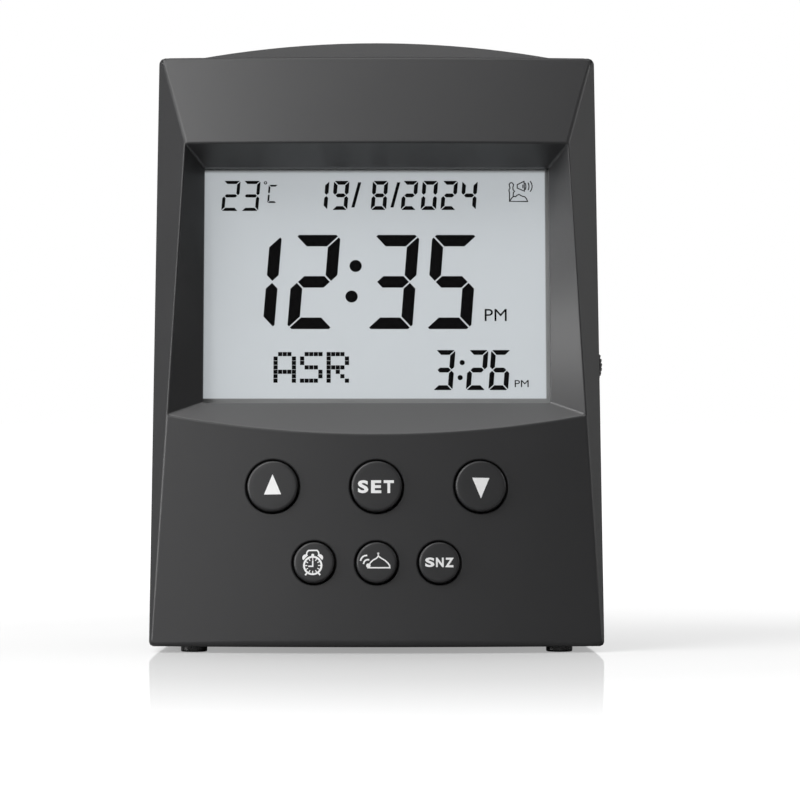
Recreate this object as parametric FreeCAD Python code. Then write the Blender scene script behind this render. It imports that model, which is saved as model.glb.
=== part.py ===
import FreeCAD, Part
import math
import os

# A desk clock with six push buttons under a liquid crystal display, a volume wheel in its side and a
# speaker and two AA cells behind. The case is two plastic shells that meet at a plane which leans back.
#
# Row frame: +X right, +Y back, +Z up, origin on the desk under the middle of the case, millimetres.
# Seam frame: x as above, u up along the seam plane, w forwards out of it; buttons, display and board
# are square to it. Back frame: x as above, v up along the outside of the back, d inwards from it.

Vector = FreeCAD.Vector
os.makedirs("parts", exist_ok=True)

# Case, overall
case_width = 86.0
case_top_width = 84.2
shoulder_height = 113.7
crest_rise = 3.3
crest_radius = 177.0
foot_height = 1.15
wall = 2.0
seam_lean = 12.0
back_lean = 4.0
side_draft = 2.5

# Front of the case
brow_height = 17.0
step_at_foot = 0.7
step_at_ridge = 8.6
step_at_top = 0.8
cheek_angle = 33.0
bulge_radius = 220.0

# Rounding of the case
foot_corner_radius = 1.0
top_corner_radius = 1.3
front_top_radius = 1.1
front_foot_radius = 0.6
back_edge_radius = 4.0
crest_slope = 35.0
crest_flat = 3.0

# Lip that centres the shells on each other
lip_clearance = 0.15
lip_thickness = 1.0
lip_height = 1.2
lip_root = 2.5
lip_bite = 0.4

# Display recess and window
window_side = 8.95
window_above_foot_corner = 3.15
window_below_ridge = 2.5
window_forward = 1.0
window_lip = 1.4
recess_foot_corner_height = 44.75
recess_foot_middle_height = 41.15
recess_overrun = 0.06
recess_wall_growth = 2.4
recess_spline_steps = 8

# Display stack, from the window's lip back to the board
lens_overlap = 2.6
lens_thickness = 1.0
lens_to_glass_gap = 0.2
glass_side_margin = 1.85
glass_foot_margin = 1.7
glass_head_margin = 2.0
glass_thickness = 2.0
glass_ledge = 2.2
frame_clearance = 0.15
frame_wall = 2.0
zebra_width = 1.5
zebra_inset = 0.3
light_guide_thickness = 1.8
light_guide_margin = 0.4
light_guide_gap = 0.2

# Main board
board_thickness = 1.6
board_foot = 8.0
board_below_shoulder = 8.2
board_inset = 4.6
board_notch_clearance = 0.5

# Buttons
button_gap = 0.35
button_travel = 0.5
button_proud = 0.8
button_rim_radius = 0.5
button_flange_rim = 0.9
button_flange_thickness = 1.2
button_stem_radius = 1.6
button_running_gap = 0.05
large_cap_radius = 4.77
large_pitch = 19.65
large_row_drop = 9.85
small_cap_radius = 3.82
small_pitch = 11.8
small_row_drop = 14.3
collar_wall = 1.2
collar_end = 2.6
collar_to_flange_gap = 0.1

# Tact switches
switch_size = 6.0
switch_body_height = 3.5
switch_actuator_radius = 1.75
switch_actuator_height = 1.5

# Fasteners
case_boss_radius = 3.0
case_boss_past_board = 4.8
case_screw_inset = 6.1
case_screw_low = 18.0
case_screw_below_shoulder = 9.7
case_post_floor = 3.0
board_boss_radius = 2.6
board_screw_inset = 12.1
board_screw_below_glass = 6.2
board_screw_above_glass = 5.8
thread_clearance = 0.05
shank_clearance = 0.25
head_clearance = 0.4
screw_slot_depth = 0.8
screw_slot_width = 0.6
case_screw_radius = 1.4
case_screw_length = 12.0
case_head_radius = 2.5
case_head_height = 1.8
board_screw_radius = 1.1
board_screw_length = 7.0
board_head_radius = 2.2
board_head_height = 1.4
pilot_spare = 1.0

# Volume control
wheel_radius = 6.25
wheel_thickness = 2.5
wheel_proud = 1.03
wheel_height = 54.1
wheel_edge = 0.4
wheel_side_gap = 0.2
wheel_rim_gap = 0.5
wheel_slot_gap = 0.5
spindle_radius = 1.5
spindle_clearance = 0.05
spindle_proud = 0.4
pot_height = 2.0
pot_size = 9.0
pot_edge_beyond_spindle = 2.05
tab_clearance = 0.15

# Feet
foot_radius = 2.5
foot_inset = 8.4
front_foot_inset = 8.25
back_foot_inset = 8.0
foot_socket_depth = 0.8
foot_socket_clearance = 0.05
foot_edge = 0.3

# Speaker
speaker_radius = 20.0
speaker_below_shoulder = 35.7
speaker_seat_height = 1.5
speaker_seat_wall = 1.5
speaker_seat_clearance = 0.3
speaker_rim_thickness = 1.0
speaker_rim_width = 2.5
speaker_to_board_gap = 0.44
speaker_basket_depth = 7.0
speaker_basket_radius = 8.5
speaker_basket_wall = 0.6
cone_to_basket_gap = 2.2
cone_neck_radius = 5.0
cone_wall = 0.5
cone_gap = 0.5
magnet_radius = 9.5
magnet_thickness = 4.0
grille_margin = 3.0
grille_pitch = 4.0
grille_slot = 1.8
grille_spine = 1.4
clip_screw_radius = 1.1
clip_head_radius = 2.4
clip_head_height = 1.2
clip_screw_length = 2.8
clip_boss_radius = 2.6
clip_angles = (90.0, 210.0, 330.0)

# Cells and their bay
cell_radius = 7.1
cell_length = 49.2
cell_nub_radius = 2.75
cell_nub_length = 1.3
cell_spacing = 0.6
cell_clearance = 0.4
bay_foot = 5.2
bay_end_gap = 0.5
bay_wall = 1.2
plate_thickness = 0.4
plate_width = 9.0
spring_thickness = 0.4
spring_width = 6.0
spring_nose = 1.5
spring_length = 6.7
door_ledge = 1.6
door_clearance = 0.2
door_thickness = 2.0
door_grip_count = 4
door_grip_pitch = 2.2
door_grip_depth = 0.6
door_grip_width = 16.0
door_lug_width = 6.0
door_lug_depth = 3.0
door_lug_thickness = 1.4
door_lug_spacing = 36.0
door_lug_clearance = 0.15

# Main chip, sound chip, crystal and socket on the board: x, u, width, height along u, thickness
board_chips = (
    (-14.0, 54.0, 14.0, 14.0, 1.6),
    (13.0, 38.0, 10.0, 5.5, 1.6),
    (16.0, 58.0, 8.0, 3.2, 2.8),
    (2.0, 50.0, 8.0, 4.5, 4.0),
)
capacitor_radius = 3.0
capacitor_height = 7.0
capacitor_places = ((-24.0, 30.0), (-16.0, 30.0), (24.0, 28.0))

# Larger than the clock, for cutting blocks
reach = 160.0

# Worked out from the above
ridge_height = shoulder_height - brow_height
crest_height = shoulder_height + crest_rise
narrow_width = min(case_width, case_top_width)
lean = math.radians(seam_lean)
back_tilt = math.radians(back_lean)
cheek_slope = math.tan(math.radians(cheek_angle))
draw_in = (case_width - case_top_width) / 2 / shoulder_height


def sagitta(x, radius):
    """How far an arc falls back from its crown at distance x."""
    return radius - math.sqrt(radius**2 - x**2)


def half_width(z):
    """Half the width of the case at its seam."""
    return case_width / 2 - draw_in * z


def corner_step(z):
    """How far the front's side corners stand ahead of the seam."""
    if z < ridge_height:
        share = (z - foot_height) / (ridge_height - foot_height)
        return step_at_foot + share * (step_at_ridge - step_at_foot)
    share = (z - ridge_height) / (shoulder_height - ridge_height)
    return step_at_ridge + share * (step_at_top - step_at_ridge)


def corner_x(z):
    """Half-width of the front between its cheeks."""
    return half_width(z) - cheek_slope * corner_step(z)


def crown_ahead_of_seam(z):
    """How far the middle of the front stands ahead of the seam."""
    return corner_step(z) + sagitta(corner_x(z), bulge_radius)


# Display stack and board, as distances ahead of the seam
window_floor = window_forward - window_lip
lens_back = window_floor - lens_thickness
glass_front = lens_back - lens_to_glass_gap
glass_back = glass_front - glass_thickness
board_forward = glass_back - light_guide_thickness - light_guide_gap
board_back = board_forward - board_thickness

# Speaker, as distances up the back and inwards from it
speaker_height = shoulder_height - speaker_below_shoulder
speaker_v = (speaker_height - foot_height) / math.cos(back_tilt)
speaker_front = wall + speaker_seat_height
basket_top = speaker_basket_depth
magnet_top = basket_top + magnet_thickness
cone_top = basket_top - speaker_basket_wall - cone_to_basket_gap


def depth_behind_seam():
    """Level distance from the seam to the back at the desk, as deep as the magnet needs behind the board."""
    v = speaker_v + magnet_radius
    d = speaker_front + magnet_top
    z = foot_height + v * math.cos(back_tilt) - d * math.sin(back_tilt)
    clear_w = board_back - speaker_to_board_gap
    ahead = (z * math.sin(lean) - clear_w) / math.cos(lean)
    return ahead + v * math.sin(back_tilt) + d * math.cos(back_tilt)


front_ahead = foot_height * math.tan(lean) - crown_ahead_of_seam(foot_height)
case_depth = depth_behind_seam() - front_ahead
seam_y_at_desk = -case_depth / 2 - front_ahead
seam_place = FreeCAD.Placement(
    Vector(0, seam_y_at_desk, 0), FreeCAD.Rotation(Vector(1, 0, 0), 90 - seam_lean)
)
back_place = FreeCAD.Placement(
    Vector(0, case_depth / 2, foot_height), FreeCAD.Rotation(Vector(1, 0, 0), 90 + back_lean)
)


def seam_y(z):
    """Where the seam plane lies at height z."""
    return seam_y_at_desk + z * math.tan(lean)


def crown_y(z):
    """Where the middle of the front lies at one of its three levels."""
    return seam_y(z) - crown_ahead_of_seam(z)


panel_slope = (crown_y(ridge_height) - crown_y(foot_height)) / (ridge_height - foot_height)
brow_slope = (crown_y(shoulder_height) - crown_y(ridge_height)) / (shoulder_height - ridge_height)


def panel_y(x, z):
    """Where the lower front panel lies at x and height z."""
    return crown_y(foot_height) + (z - foot_height) * panel_slope + sagitta(x, bulge_radius)


def to_seam(y, z):
    """Seam-frame u and w of a point in the row frame."""
    ahead = y - seam_y_at_desk
    return (
        ahead * math.sin(lean) + z * math.cos(lean),
        z * math.sin(lean) - ahead * math.cos(lean),
    )


def from_seam(x, u, w):
    """Row-frame point of seam-frame coordinates."""
    return seam_place.multVec(Vector(x, u, w))


def placed(shape, placement):
    """The shape moved from a local frame to the row frame."""
    moved = shape.copy()
    moved.Placement = placement.multiply(moved.Placement)
    return moved


def seam_box(x, u, w):
    """Box between pairs of seam-frame coordinates."""
    box = Part.makeBox(x[1] - x[0], u[1] - u[0], w[1] - w[0], Vector(x[0], u[0], w[0]))
    return placed(box, seam_place)


def seam_cylinder(x, u, w, radius):
    """Cylinder along w between two values of w."""
    return placed(Part.makeCylinder(radius, w[1] - w[0], Vector(x, u, w[0])), seam_place)


def back_box(x, v, d):
    """Box between pairs of back-frame coordinates."""
    box = Part.makeBox(x[1] - x[0], v[1] - v[0], d[1] - d[0], Vector(x[0], v[0], d[0]))
    return placed(box, back_place)


def back_cylinder(x, v, d, radius):
    """Cylinder into the case between two depths from the back."""
    return placed(Part.makeCylinder(radius, d[1] - d[0], Vector(x, v, d[0])), back_place)


def far_side(point, outward):
    """Block that fills everything beyond a plane."""
    block = Part.makeBox(2 * reach, 2 * reach, 2 * reach, Vector(-reach, -reach, 0))
    block.Placement = FreeCAD.Placement(point, FreeCAD.Rotation(Vector(0, 0, 1), outward))
    return block


def save(name, shape):
    """Write one sub-part."""
    shape.exportStep(os.path.join("parts", name + ".step"))


# ---- Case: both shells are cut from one closed form and its offset ----


def bulged_prism(crown, level, slope, inset):
    """Everything behind a front whose level sections are arcs and whose crown line has a slope."""
    low = -reach / 2
    centre_y = crown + (low - level) * slope + bulge_radius
    radius = bulge_radius - inset * math.hypot(1, slope)
    side = case_width
    left = Vector(-side, centre_y - math.sqrt(radius**2 - side**2), low)
    right = Vector(side, left.y, low)
    arc = Part.Arc(left, Vector(0, centre_y - radius, low), right).toShape()
    back_left = Vector(-side, centre_y + reach, low)
    back_right = Vector(side, centre_y + reach, low)
    path = Part.makePolygon([right, back_right, back_left, left])
    face = Part.Face(Part.Wire([arc] + path.Edges))
    return face.extrude(Vector(0, slope * 2 * reach, 2 * reach))


def lower_front(inset):
    """Everything behind the button panel's surface."""
    return bulged_prism(crown_y(foot_height), foot_height, panel_slope, inset)


def brow_front(inset):
    """Everything behind the surface above the ridge."""
    return bulged_prism(crown_y(ridge_height), ridge_height, brow_slope, inset)


def front_view_prism(inset):
    """The outline seen from the front, carried along Y."""
    foot = foot_height + inset
    top = shoulder_height - inset
    low = half_width(foot) - inset
    high = half_width(top) - inset
    corners = [(-low, foot), (low, foot), (high, top), (-high, top), (-low, foot)]
    outline = Part.makePolygon([Vector(x, -reach, z) for x, z in corners])
    return Part.Face(outline).extrude(Vector(0, 2 * reach, 0))


def rounded_prism(inset):
    """The same outline with its four corners rounded."""
    foot = foot_height + inset
    top = shoulder_height - inset
    prism = front_view_prism(inset)
    for radius, level in ((foot_corner_radius, foot), (top_corner_radius, top)):
        if radius > inset:
            edges = [e for e in prism.Edges if is_corner_edge(e, level)]
            prism = prism.makeFillet(radius - inset, edges)
    return prism


def is_corner_edge(edge, level):
    """Whether an edge runs along Y at a level."""
    box = edge.BoundBox
    return box.YLength > reach and box.ZLength < wall and abs(box.ZMin - level) < lip_bite


def side_plane(sign, across, along, inset):
    """Far side of a plane through one seam edge, leaning by across for each unit along Y."""
    edge_direction = Vector(-sign * draw_in, math.tan(lean), 1)
    other = Vector(-sign * across, along, 0)
    normal = edge_direction.cross(other)
    normal.normalize()
    if normal.x * sign < 0:
        normal = normal * -1
    point = Vector(sign * half_width(0), seam_y(0), 0) - normal * inset
    return far_side(point, normal)


def crest(inset):
    """The low arched crown on top, behind the seam."""
    slope = math.radians(crest_slope)
    rise = crest_height - shoulder_height
    start = seam_y(shoulder_height) + inset / math.sin(slope)
    top_front = start + rise / math.tan(slope)
    top_back = top_front + crest_flat
    end = top_back + rise / math.tan(slope) - 2 * inset / math.tan(slope)
    base = shoulder_height - wall - inset
    side = [
        (start, base),
        (start, shoulder_height),
        (top_front, crest_height),
        (top_back, crest_height),
        (end, shoulder_height),
        (end, base),
        (start, base),
    ]
    outline = Part.makePolygon([Vector(-reach, y, z) for y, z in side])
    slab = Part.Face(outline).extrude(Vector(2 * reach, 0, 0))
    barrel = Part.makeCylinder(
        crest_radius - inset,
        reach,
        Vector(0, -reach / 2, crest_height - crest_radius),
        Vector(0, 1, 0),
    )
    width = case_top_width - 2 * wall
    sides = Part.makeBox(width, reach, reach, Vector(-width / 2, -reach / 2, base))
    return slab.common(barrel).common(sides)


def case_form(inset):
    """The closed form of the case, with every face moved inwards by inset."""
    form = lower_front(inset).common(brow_front(inset)).common(front_view_prism(inset))
    normal = Vector(0, math.cos(back_tilt), math.sin(back_tilt))
    form = form.cut(far_side(Vector(0, case_depth / 2, foot_height) - normal * inset, normal))
    draft = math.tan(math.radians(side_draft))
    for sign in (-1, 1):
        form = form.cut(side_plane(sign, cheek_slope, -1, inset))
        form = form.cut(side_plane(sign, draft, 1, inset))
    back = max(form.Faces, key=lambda face: face.CenterOfMass.y)
    form = form.makeFillet(back_edge_radius - inset, back.Edges)
    rounded = ((front_foot_radius, foot_height + inset), (front_top_radius, shoulder_height - inset))
    for radius, level in rounded:
        if radius > inset:
            edges = [e for e in form.Edges if is_front_edge(e, level)]
            form = form.makeFillet(radius - inset, edges)
    return form.common(rounded_prism(inset)).fuse(crest(inset)).removeSplitter()


def is_front_edge(edge, level):
    """Whether an edge runs right across the front at a level."""
    box = edge.BoundBox
    level_edge = box.ZLength < lip_bite and abs(box.ZMin - level) < lip_bite
    return level_edge and box.XLength > window_width and box.YMin < seam_y(level) - step_at_foot


# ---- Display recess ----

window_width = narrow_width - 2 * window_side
window_bottom = recess_foot_corner_height + window_above_foot_corner
window_height = ridge_height - window_below_ridge - window_bottom


def spline(points):
    """Smooth edge through points."""
    curve = Part.BSplineCurve()
    curve.interpolate(points)
    return curve.toShape()


def recess_block(growth, floor):
    """The recess round the window: ruled walls from the window's edge out to the front's edges."""
    half = window_width / 2 + growth
    low = window_bottom - growth
    high = window_bottom + window_height + growth
    front = -case_depth

    def outer(share, height):
        """Point of the recess's outer outline, a little proud of the case."""
        z = height
        x = share * (corner_x(min(z, ridge_height)) + growth)
        inner = from_seam(share * half, high if height > window_bottom else low, floor)
        point = Vector(x, panel_y(x, z), z)
        return point + (point - inner) * recess_overrun

    def foot_height_at(share):
        """Height of the recess's arched foot."""
        drop = recess_foot_corner_height - recess_foot_middle_height
        return recess_foot_middle_height + drop * share**2 - growth

    shares = [-1 + 2 * i / recess_spline_steps for i in range(recess_spline_steps + 1)]
    top = [outer(s, ridge_height + growth) for s in shares]
    foot = [outer(s, foot_height_at(s)) for s in shares]
    q = [
        from_seam(-half, high, floor),
        from_seam(half, high, floor),
        from_seam(half, low, floor),
        from_seam(-half, low, floor),
    ]
    rim = [
        spline(top),
        Part.makeLine(top[-1], foot[-1]),
        spline(foot[::-1]),
        Part.makeLine(foot[0], top[0]),
    ]
    inner = [Part.makeLine(q[i], q[(i + 1) % len(q)]) for i in range(len(q))]

    def flattened(points):
        """The points carried forwards to one plane."""
        return [Vector(p.x, front, p.z) for p in points]

    mouth = [
        spline(flattened(top)),
        Part.makeLine(*flattened([top[-1], foot[-1]])),
        spline(flattened(foot[::-1])),
        Part.makeLine(*flattened([foot[0], top[0]])),
    ]
    faces = [Part.makeRuledSurface(a, b) for a, b in zip(inner, rim)]
    faces += [Part.makeRuledSurface(a, b) for a, b in zip(rim, mouth)]
    faces.append(Part.Face(Part.Wire(inner)))
    faces.append(Part.Face(Part.Wire(mouth)))
    shell = Part.Shell(faces)
    shell.sewShape()
    block = Part.Solid(shell)
    return block if block.Volume > 0 else block.reversed()


glass_half = window_width / 2 + glass_side_margin
glass_x = (-glass_half, glass_half)
glass_u = (window_bottom - glass_foot_margin, window_bottom + window_height + glass_head_margin)


# ---- Where the buttons, bosses and the wheel are ----


def button_axis(x, z):
    """Seam-frame u of a button whose axis meets the panel at x, z."""
    return to_seam(panel_y(x, z), z)[0]


large_row_height = recess_foot_middle_height - large_row_drop
small_row_height = large_row_height - small_row_drop
large_names = ("up_button", "set_button", "down_button")
small_names = ("alarm_button", "azan_button", "snooze_button")
buttons = {}
for i, (large_name, small_name) in enumerate(zip(large_names, small_names)):
    x = (i - 1) * large_pitch
    buttons[large_name] = (x, button_axis(x, large_row_height), large_cap_radius)
    x = (i - 1) * small_pitch
    buttons[small_name] = (x, button_axis(x, small_row_height), small_cap_radius)

case_boss_end = board_back - case_boss_past_board
case_screw_x = narrow_width / 2 - case_screw_inset
case_screw_high = shoulder_height - case_screw_below_shoulder
case_screw_places = [
    (sign * case_screw_x, u) for sign in (-1, 1) for u in (case_screw_low, case_screw_high)
]
board_screw_x = narrow_width / 2 - board_screw_inset
board_screw_us = (glass_u[0] - board_screw_below_glass, glass_u[1] + board_screw_above_glass)
board_screw_places = [(sign * board_screw_x, u) for sign in (-1, 1) for u in board_screw_us]
wheel_x = half_width(wheel_height) + wheel_proud - wheel_radius
pot_edge = wheel_x + pot_edge_beyond_spindle
wheel_front = board_back - pot_height - wheel_side_gap
wheel_back = wheel_front - wheel_thickness
wheel_u = (wheel_height - (wheel_front + wheel_back) / 2 * math.sin(lean)) / math.cos(lean)
slot_half = wheel_radius + wheel_rim_gap
slot_u = (wheel_u - slot_half, wheel_u + slot_half)
slot_front = wheel_front + wheel_slot_gap
slot_back = wheel_back - wheel_slot_gap
slot_x = (pot_edge, case_width)

outer_form = case_form(0)
inner_form = case_form(wall)
skin = outer_form.cut(inner_form)
ahead_of_seam = placed(far_side(Vector(0, 0, 0), Vector(0, 0, 1)), seam_place)
behind_seam = placed(far_side(Vector(0, 0, 0), Vector(0, 0, -1)), seam_place)


# ---- Front shell ----


def front_shell():
    """Front shell: button panel, recess, brow and cheeks, with its collars and screw bosses."""
    shell = skin.common(ahead_of_seam)
    inside = case_form(wall / 2)
    added = [recess_block(recess_wall_growth, window_floor).common(outer_form)]
    for x, u, cap_radius in buttons.values():
        outer_radius = cap_radius + button_gap + collar_wall
        added.append(seam_cylinder(x, u, (collar_end, reach), outer_radius).common(inside))
    for x, u in case_screw_places:
        added.append(seam_cylinder(x, u, (case_boss_end, reach), case_boss_radius).common(inside))
    for x, u in board_screw_places:
        added.append(seam_cylinder(x, u, (board_forward, reach), board_boss_radius).common(inside))
    added.append(slot_tab())
    shell = shell.multiFuse(added)
    cuts = [recess_block(0, window_forward)]
    half = window_width / 2
    window_u = (window_bottom, window_bottom + window_height)
    cuts.append(seam_box((-half, half), window_u, (window_floor - wall, window_forward + wall)))
    for x, u, cap_radius in buttons.values():
        cuts.append(seam_cylinder(x, u, (window_floor - wall, reach), cap_radius + button_gap))
    for x, u in case_screw_places:
        depth = case_screw_length - case_post_floor + pilot_spare
        span = (case_boss_end - wall, case_boss_end + depth)
        cuts.append(seam_cylinder(x, u, span, case_screw_radius + thread_clearance))
    for x, u in board_screw_places:
        depth = board_screw_length - board_thickness + pilot_spare
        span = (board_forward - wall, board_forward + depth)
        cuts.append(seam_cylinder(x, u, span, board_screw_radius + thread_clearance))
    for cutter in cuts:
        shell = shell.cut(cutter)
    return shell.removeSplitter()


def slot_tab():
    """Tongue of the front shell that closes the open end of the wheel's slot."""
    u = (slot_u[0] + tab_clearance, slot_u[1] - tab_clearance)
    return skin.common(seam_box(slot_x, u, (slot_front, wall)))


# ---- Rear shell ----


def lip_ring(near, far, w):
    """Ring between two offsets of the case form, cut to a range of w."""
    ring = case_form(near).cut(case_form(far))
    return ring.common(seam_box((-reach, reach), (-reach, reach), w))


def lip():
    """Lip that stands into the front shell and centres the two."""
    near = wall + lip_clearance
    far = near + lip_thickness
    standing = lip_ring(near, far, (-lip_root, lip_height))
    rooted = lip_ring(wall - lip_bite, far, (-lip_root, -lip_bite))
    ring = standing.fuse(rooted)
    for x, u in case_screw_places:
        radius = case_boss_radius + 2 * lip_clearance
        ring = ring.cut(seam_cylinder(x, u, (-reach, reach), radius))
    growth = recess_wall_growth + 2 * lip_clearance
    return ring.cut(recess_block(growth, window_floor - 2 * lip_clearance))


def grille_slots():
    """Level slots in the back in front of the speaker, each as long as the round field allows."""
    grille_radius = speaker_radius - grille_margin
    count = int(grille_radius // grille_pitch)
    slots = []
    for i in range(-count, count + 1):
        half = math.sqrt(grille_radius**2 - (i * grille_pitch) ** 2)
        middle = speaker_v + i * grille_pitch
        span = (middle - grille_slot / 2, middle + grille_slot / 2)
        for sign in (-1, 1):
            x = sorted((sign * grille_spine / 2, sign * half))
            slots.append(back_box(x, span, (-wall, wall + speaker_seat_height)))
    return slots


rim_back = cone_wall + speaker_rim_thickness
clip_top = speaker_front + rim_back
clip_radius = speaker_radius + speaker_seat_clearance + clip_screw_radius + thread_clearance
clip_places = [
    (
        clip_radius * math.cos(math.radians(a)),
        speaker_v + clip_radius * math.sin(math.radians(a)),
    )
    for a in clip_angles
]
bay_floor = door_thickness + 2 * cell_clearance + 2 * cell_radius
bay_length = cell_length + cell_nub_length + 2 * plate_thickness + spring_length
bay_height = 4 * cell_radius + cell_spacing + 2 * bay_end_gap
bay_x = (-bay_length / 2, bay_length / 2)
bay_v = (bay_foot, bay_foot + bay_height)
door_x = (bay_x[0] - door_ledge, bay_x[1] + door_ledge)
door_v = (bay_v[0] - door_ledge, bay_v[1] + door_ledge)
lug_places = [sign * door_lug_spacing / 2 for sign in (-1, 1)]


def grown(span, amount):
    """A range widened by an amount at both ends."""
    return (span[0] - amount, span[1] + amount)


def foot_places():
    """The four feet on the underside."""
    foot_x = case_width / 2 - foot_inset
    ys = (front_foot_inset - case_depth / 2, case_depth / 2 - back_foot_inset)
    return [(sign * foot_x, y) for sign in (-1, 1) for y in ys]


def rear_bosses():
    """Screw posts, speaker seat with its clip posts, and the walls of the battery bay."""
    inside = case_form(wall / 2).common(behind_seam)
    added = []
    post_radius = case_head_radius + head_clearance + collar_wall
    for x, u in case_screw_places:
        added.append(seam_cylinder(x, u, (-reach, case_boss_end), post_radius).common(inside))
    seat_outer = speaker_radius + speaker_seat_clearance + speaker_seat_wall
    seat = back_cylinder(0, speaker_v, (wall / 2, speaker_front), seat_outer)
    collar = back_cylinder(0, speaker_v, (speaker_front, clip_top), seat_outer)
    pocket = speaker_radius + speaker_seat_clearance
    collar = collar.cut(
        back_cylinder(0, speaker_v, (wall, speaker_front + wall), pocket)
    )
    hollow = speaker_radius - speaker_rim_width
    seat = seat.cut(back_cylinder(0, speaker_v, (wall, speaker_front + wall), hollow))
    added += [seat, collar]
    for x, v in clip_places:
        post = back_cylinder(x, v, (wall / 2, clip_top), clip_boss_radius)
        added.append(post.cut(back_cylinder(0, speaker_v, (speaker_front, clip_top + wall), pocket)))
    walls = back_box(grown(bay_x, bay_wall), grown(bay_v, bay_wall), (wall / 2, bay_floor + bay_wall))
    added.append(walls.common(inside))
    ledge = back_box(
        grown(door_x, bay_wall), grown(door_v, bay_wall), (door_thickness, door_thickness + bay_wall)
    )
    added.append(ledge.common(inside))
    return added


def rear_openings():
    """What is cut from the rear shell: grille, battery bay, screw bores, wheel slot and foot sockets."""
    cuts = grille_slots()
    cuts.append(back_box(bay_x, bay_v, (door_thickness, bay_floor)))
    cuts.append(back_box(door_x, door_v, (-wall, door_thickness)))
    for x in lug_places:
        width = door_lug_width + 2 * door_lug_clearance
        lug_x = (x - width / 2, x + width / 2)
        lug_v = (bay_v[1] - wall, bay_v[1] + door_lug_thickness - door_lug_clearance)
        cuts.append(back_box(lug_x, lug_v, (-wall, door_thickness + door_lug_depth)))
    for x, v in clip_places:
        span = (wall, clip_top + wall)
        cuts.append(back_cylinder(x, v, span, clip_screw_radius + thread_clearance))
    for x, u in case_screw_places:
        head_seat = case_boss_end - case_post_floor
        bore = case_head_radius + head_clearance
        cuts.append(seam_cylinder(x, u, (-reach, head_seat), bore))
        cuts.append(seam_cylinder(x, u, (-reach, 0), case_screw_radius + shank_clearance))
    cuts.append(seam_box(slot_x, slot_u, (slot_back, wall)))
    for x, y in foot_places():
        radius = foot_radius + foot_socket_clearance
        socket = Part.makeCylinder(radius, foot_socket_depth + wall, Vector(x, y, foot_height - wall))
        cuts.append(socket)
    return cuts


def rear_shell():
    """Rear shell: sides, back and crown, with its lip."""
    shell = skin.common(behind_seam).multiFuse(rear_bosses())
    for cutter in rear_openings():
        shell = shell.cut(cutter)
    ring = lip().cut(seam_box(slot_x, slot_u, (slot_back, reach)))
    return shell.fuse(ring).removeSplitter()


# ---- Buttons and switches ----

flange_front = collar_end - collar_to_flange_gap
flange_back = flange_front - button_flange_thickness
actuator_top = board_forward + switch_body_height + switch_actuator_height
stem_end = actuator_top + button_travel + button_running_gap


def button(x, u, radius):
    """Moulded cap whose face follows the panel, with a flange behind the panel and a stem."""
    cap = seam_cylinder(x, u, (flange_back, reach), radius).common(lower_front(-button_proud))
    rim = [e for e in cap.Edges if to_seam(e.CenterOfMass.y, e.CenterOfMass.z)[1] > collar_end]
    cap = cap.makeFillet(button_rim_radius, [e for e in rim if not isinstance(e.Curve, Part.Line)])
    flange = seam_cylinder(x, u, (flange_back, flange_front), radius + button_flange_rim)
    stem = seam_cylinder(x, u, (stem_end, flange_front), button_stem_radius)
    return cap.multiFuse([flange, stem]).removeSplitter()


def tact_switches():
    """One tact switch under each button, soldered to the board."""
    half = switch_size / 2
    solids = []
    for x, u, _ in buttons.values():
        body_top = board_forward + switch_body_height
        body = seam_box((x - half, x + half), (u - half, u + half), (board_forward, body_top))
        actuator = seam_cylinder(x, u, (body_top, actuator_top), switch_actuator_radius)
        solids.append(body.fuse(actuator))
    return Part.makeCompound(solids)


# ---- Screws ----


def screw(x, u, head_seat, radius, length, head_radius, head_height):
    """Cross-head screw whose head bears on head_seat and whose shank runs forwards."""
    shank = seam_cylinder(x, u, (head_seat, head_seat + length), radius)
    head = seam_cylinder(x, u, (head_seat - head_height, head_seat), head_radius)
    body = head.fuse(shank)
    arm = head_radius / 2
    slit = screw_slot_width / 2
    back = head_seat - head_height
    depth = (back - screw_slot_depth, back + screw_slot_depth)
    body = body.cut(seam_box((x - arm, x + arm), (u - slit, u + slit), depth))
    return body.cut(seam_box((x - slit, x + slit), (u - arm, u + arm), depth))


def screws(places, head_seat, size):
    """A set of like screws."""
    return Part.makeCompound([screw(x, u, head_seat, *size) for x, u in places])


def clip_screws():
    """Screws whose broad heads hold the speaker's rim down."""
    solids = []
    for x, v in clip_places:
        head = back_cylinder(x, v, (clip_top, clip_top + clip_head_height), clip_head_radius)
        shank = back_cylinder(x, v, (clip_top - clip_screw_length, clip_top), clip_screw_radius)
        solids.append(head.fuse(shank))
    return Part.makeCompound(solids)


# ---- Display stack and board ----


def display_window():
    """Clear window bonded behind the front shell's lip."""
    half = window_width / 2 + lens_overlap
    u = (window_bottom - lens_overlap, window_bottom + window_height + lens_overlap)
    return seam_box((-half, half), u, (lens_back, window_floor))


def lcd_frame():
    """Frame that locates the glass on the board."""
    pocket_x = grown(glass_x, frame_clearance)
    pocket_u = grown(glass_u, frame_clearance)
    w = (board_forward, lens_back - frame_clearance)
    ring = seam_box(grown(pocket_x, frame_wall), grown(pocket_u, frame_wall), w)
    return ring.cut(seam_box(pocket_x, pocket_u, (-reach, reach)))


def zebra_strips():
    """Rubber connector strips along the foot and the head of the glass."""
    low = glass_u[0] + zebra_inset
    high = glass_u[1] - zebra_inset - zebra_width
    w = (board_forward, glass_back)
    x = grown(glass_x, -zebra_inset)
    return Part.makeCompound([seam_box(x, (u, u + zebra_width), w) for u in (low, high)])


def light_guide():
    """Light guide behind the glass, between the strips."""
    u = grown(glass_u, -glass_ledge)
    x = grown(glass_x, -light_guide_margin)
    return seam_box(x, u, (glass_back - light_guide_thickness, glass_back))


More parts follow.
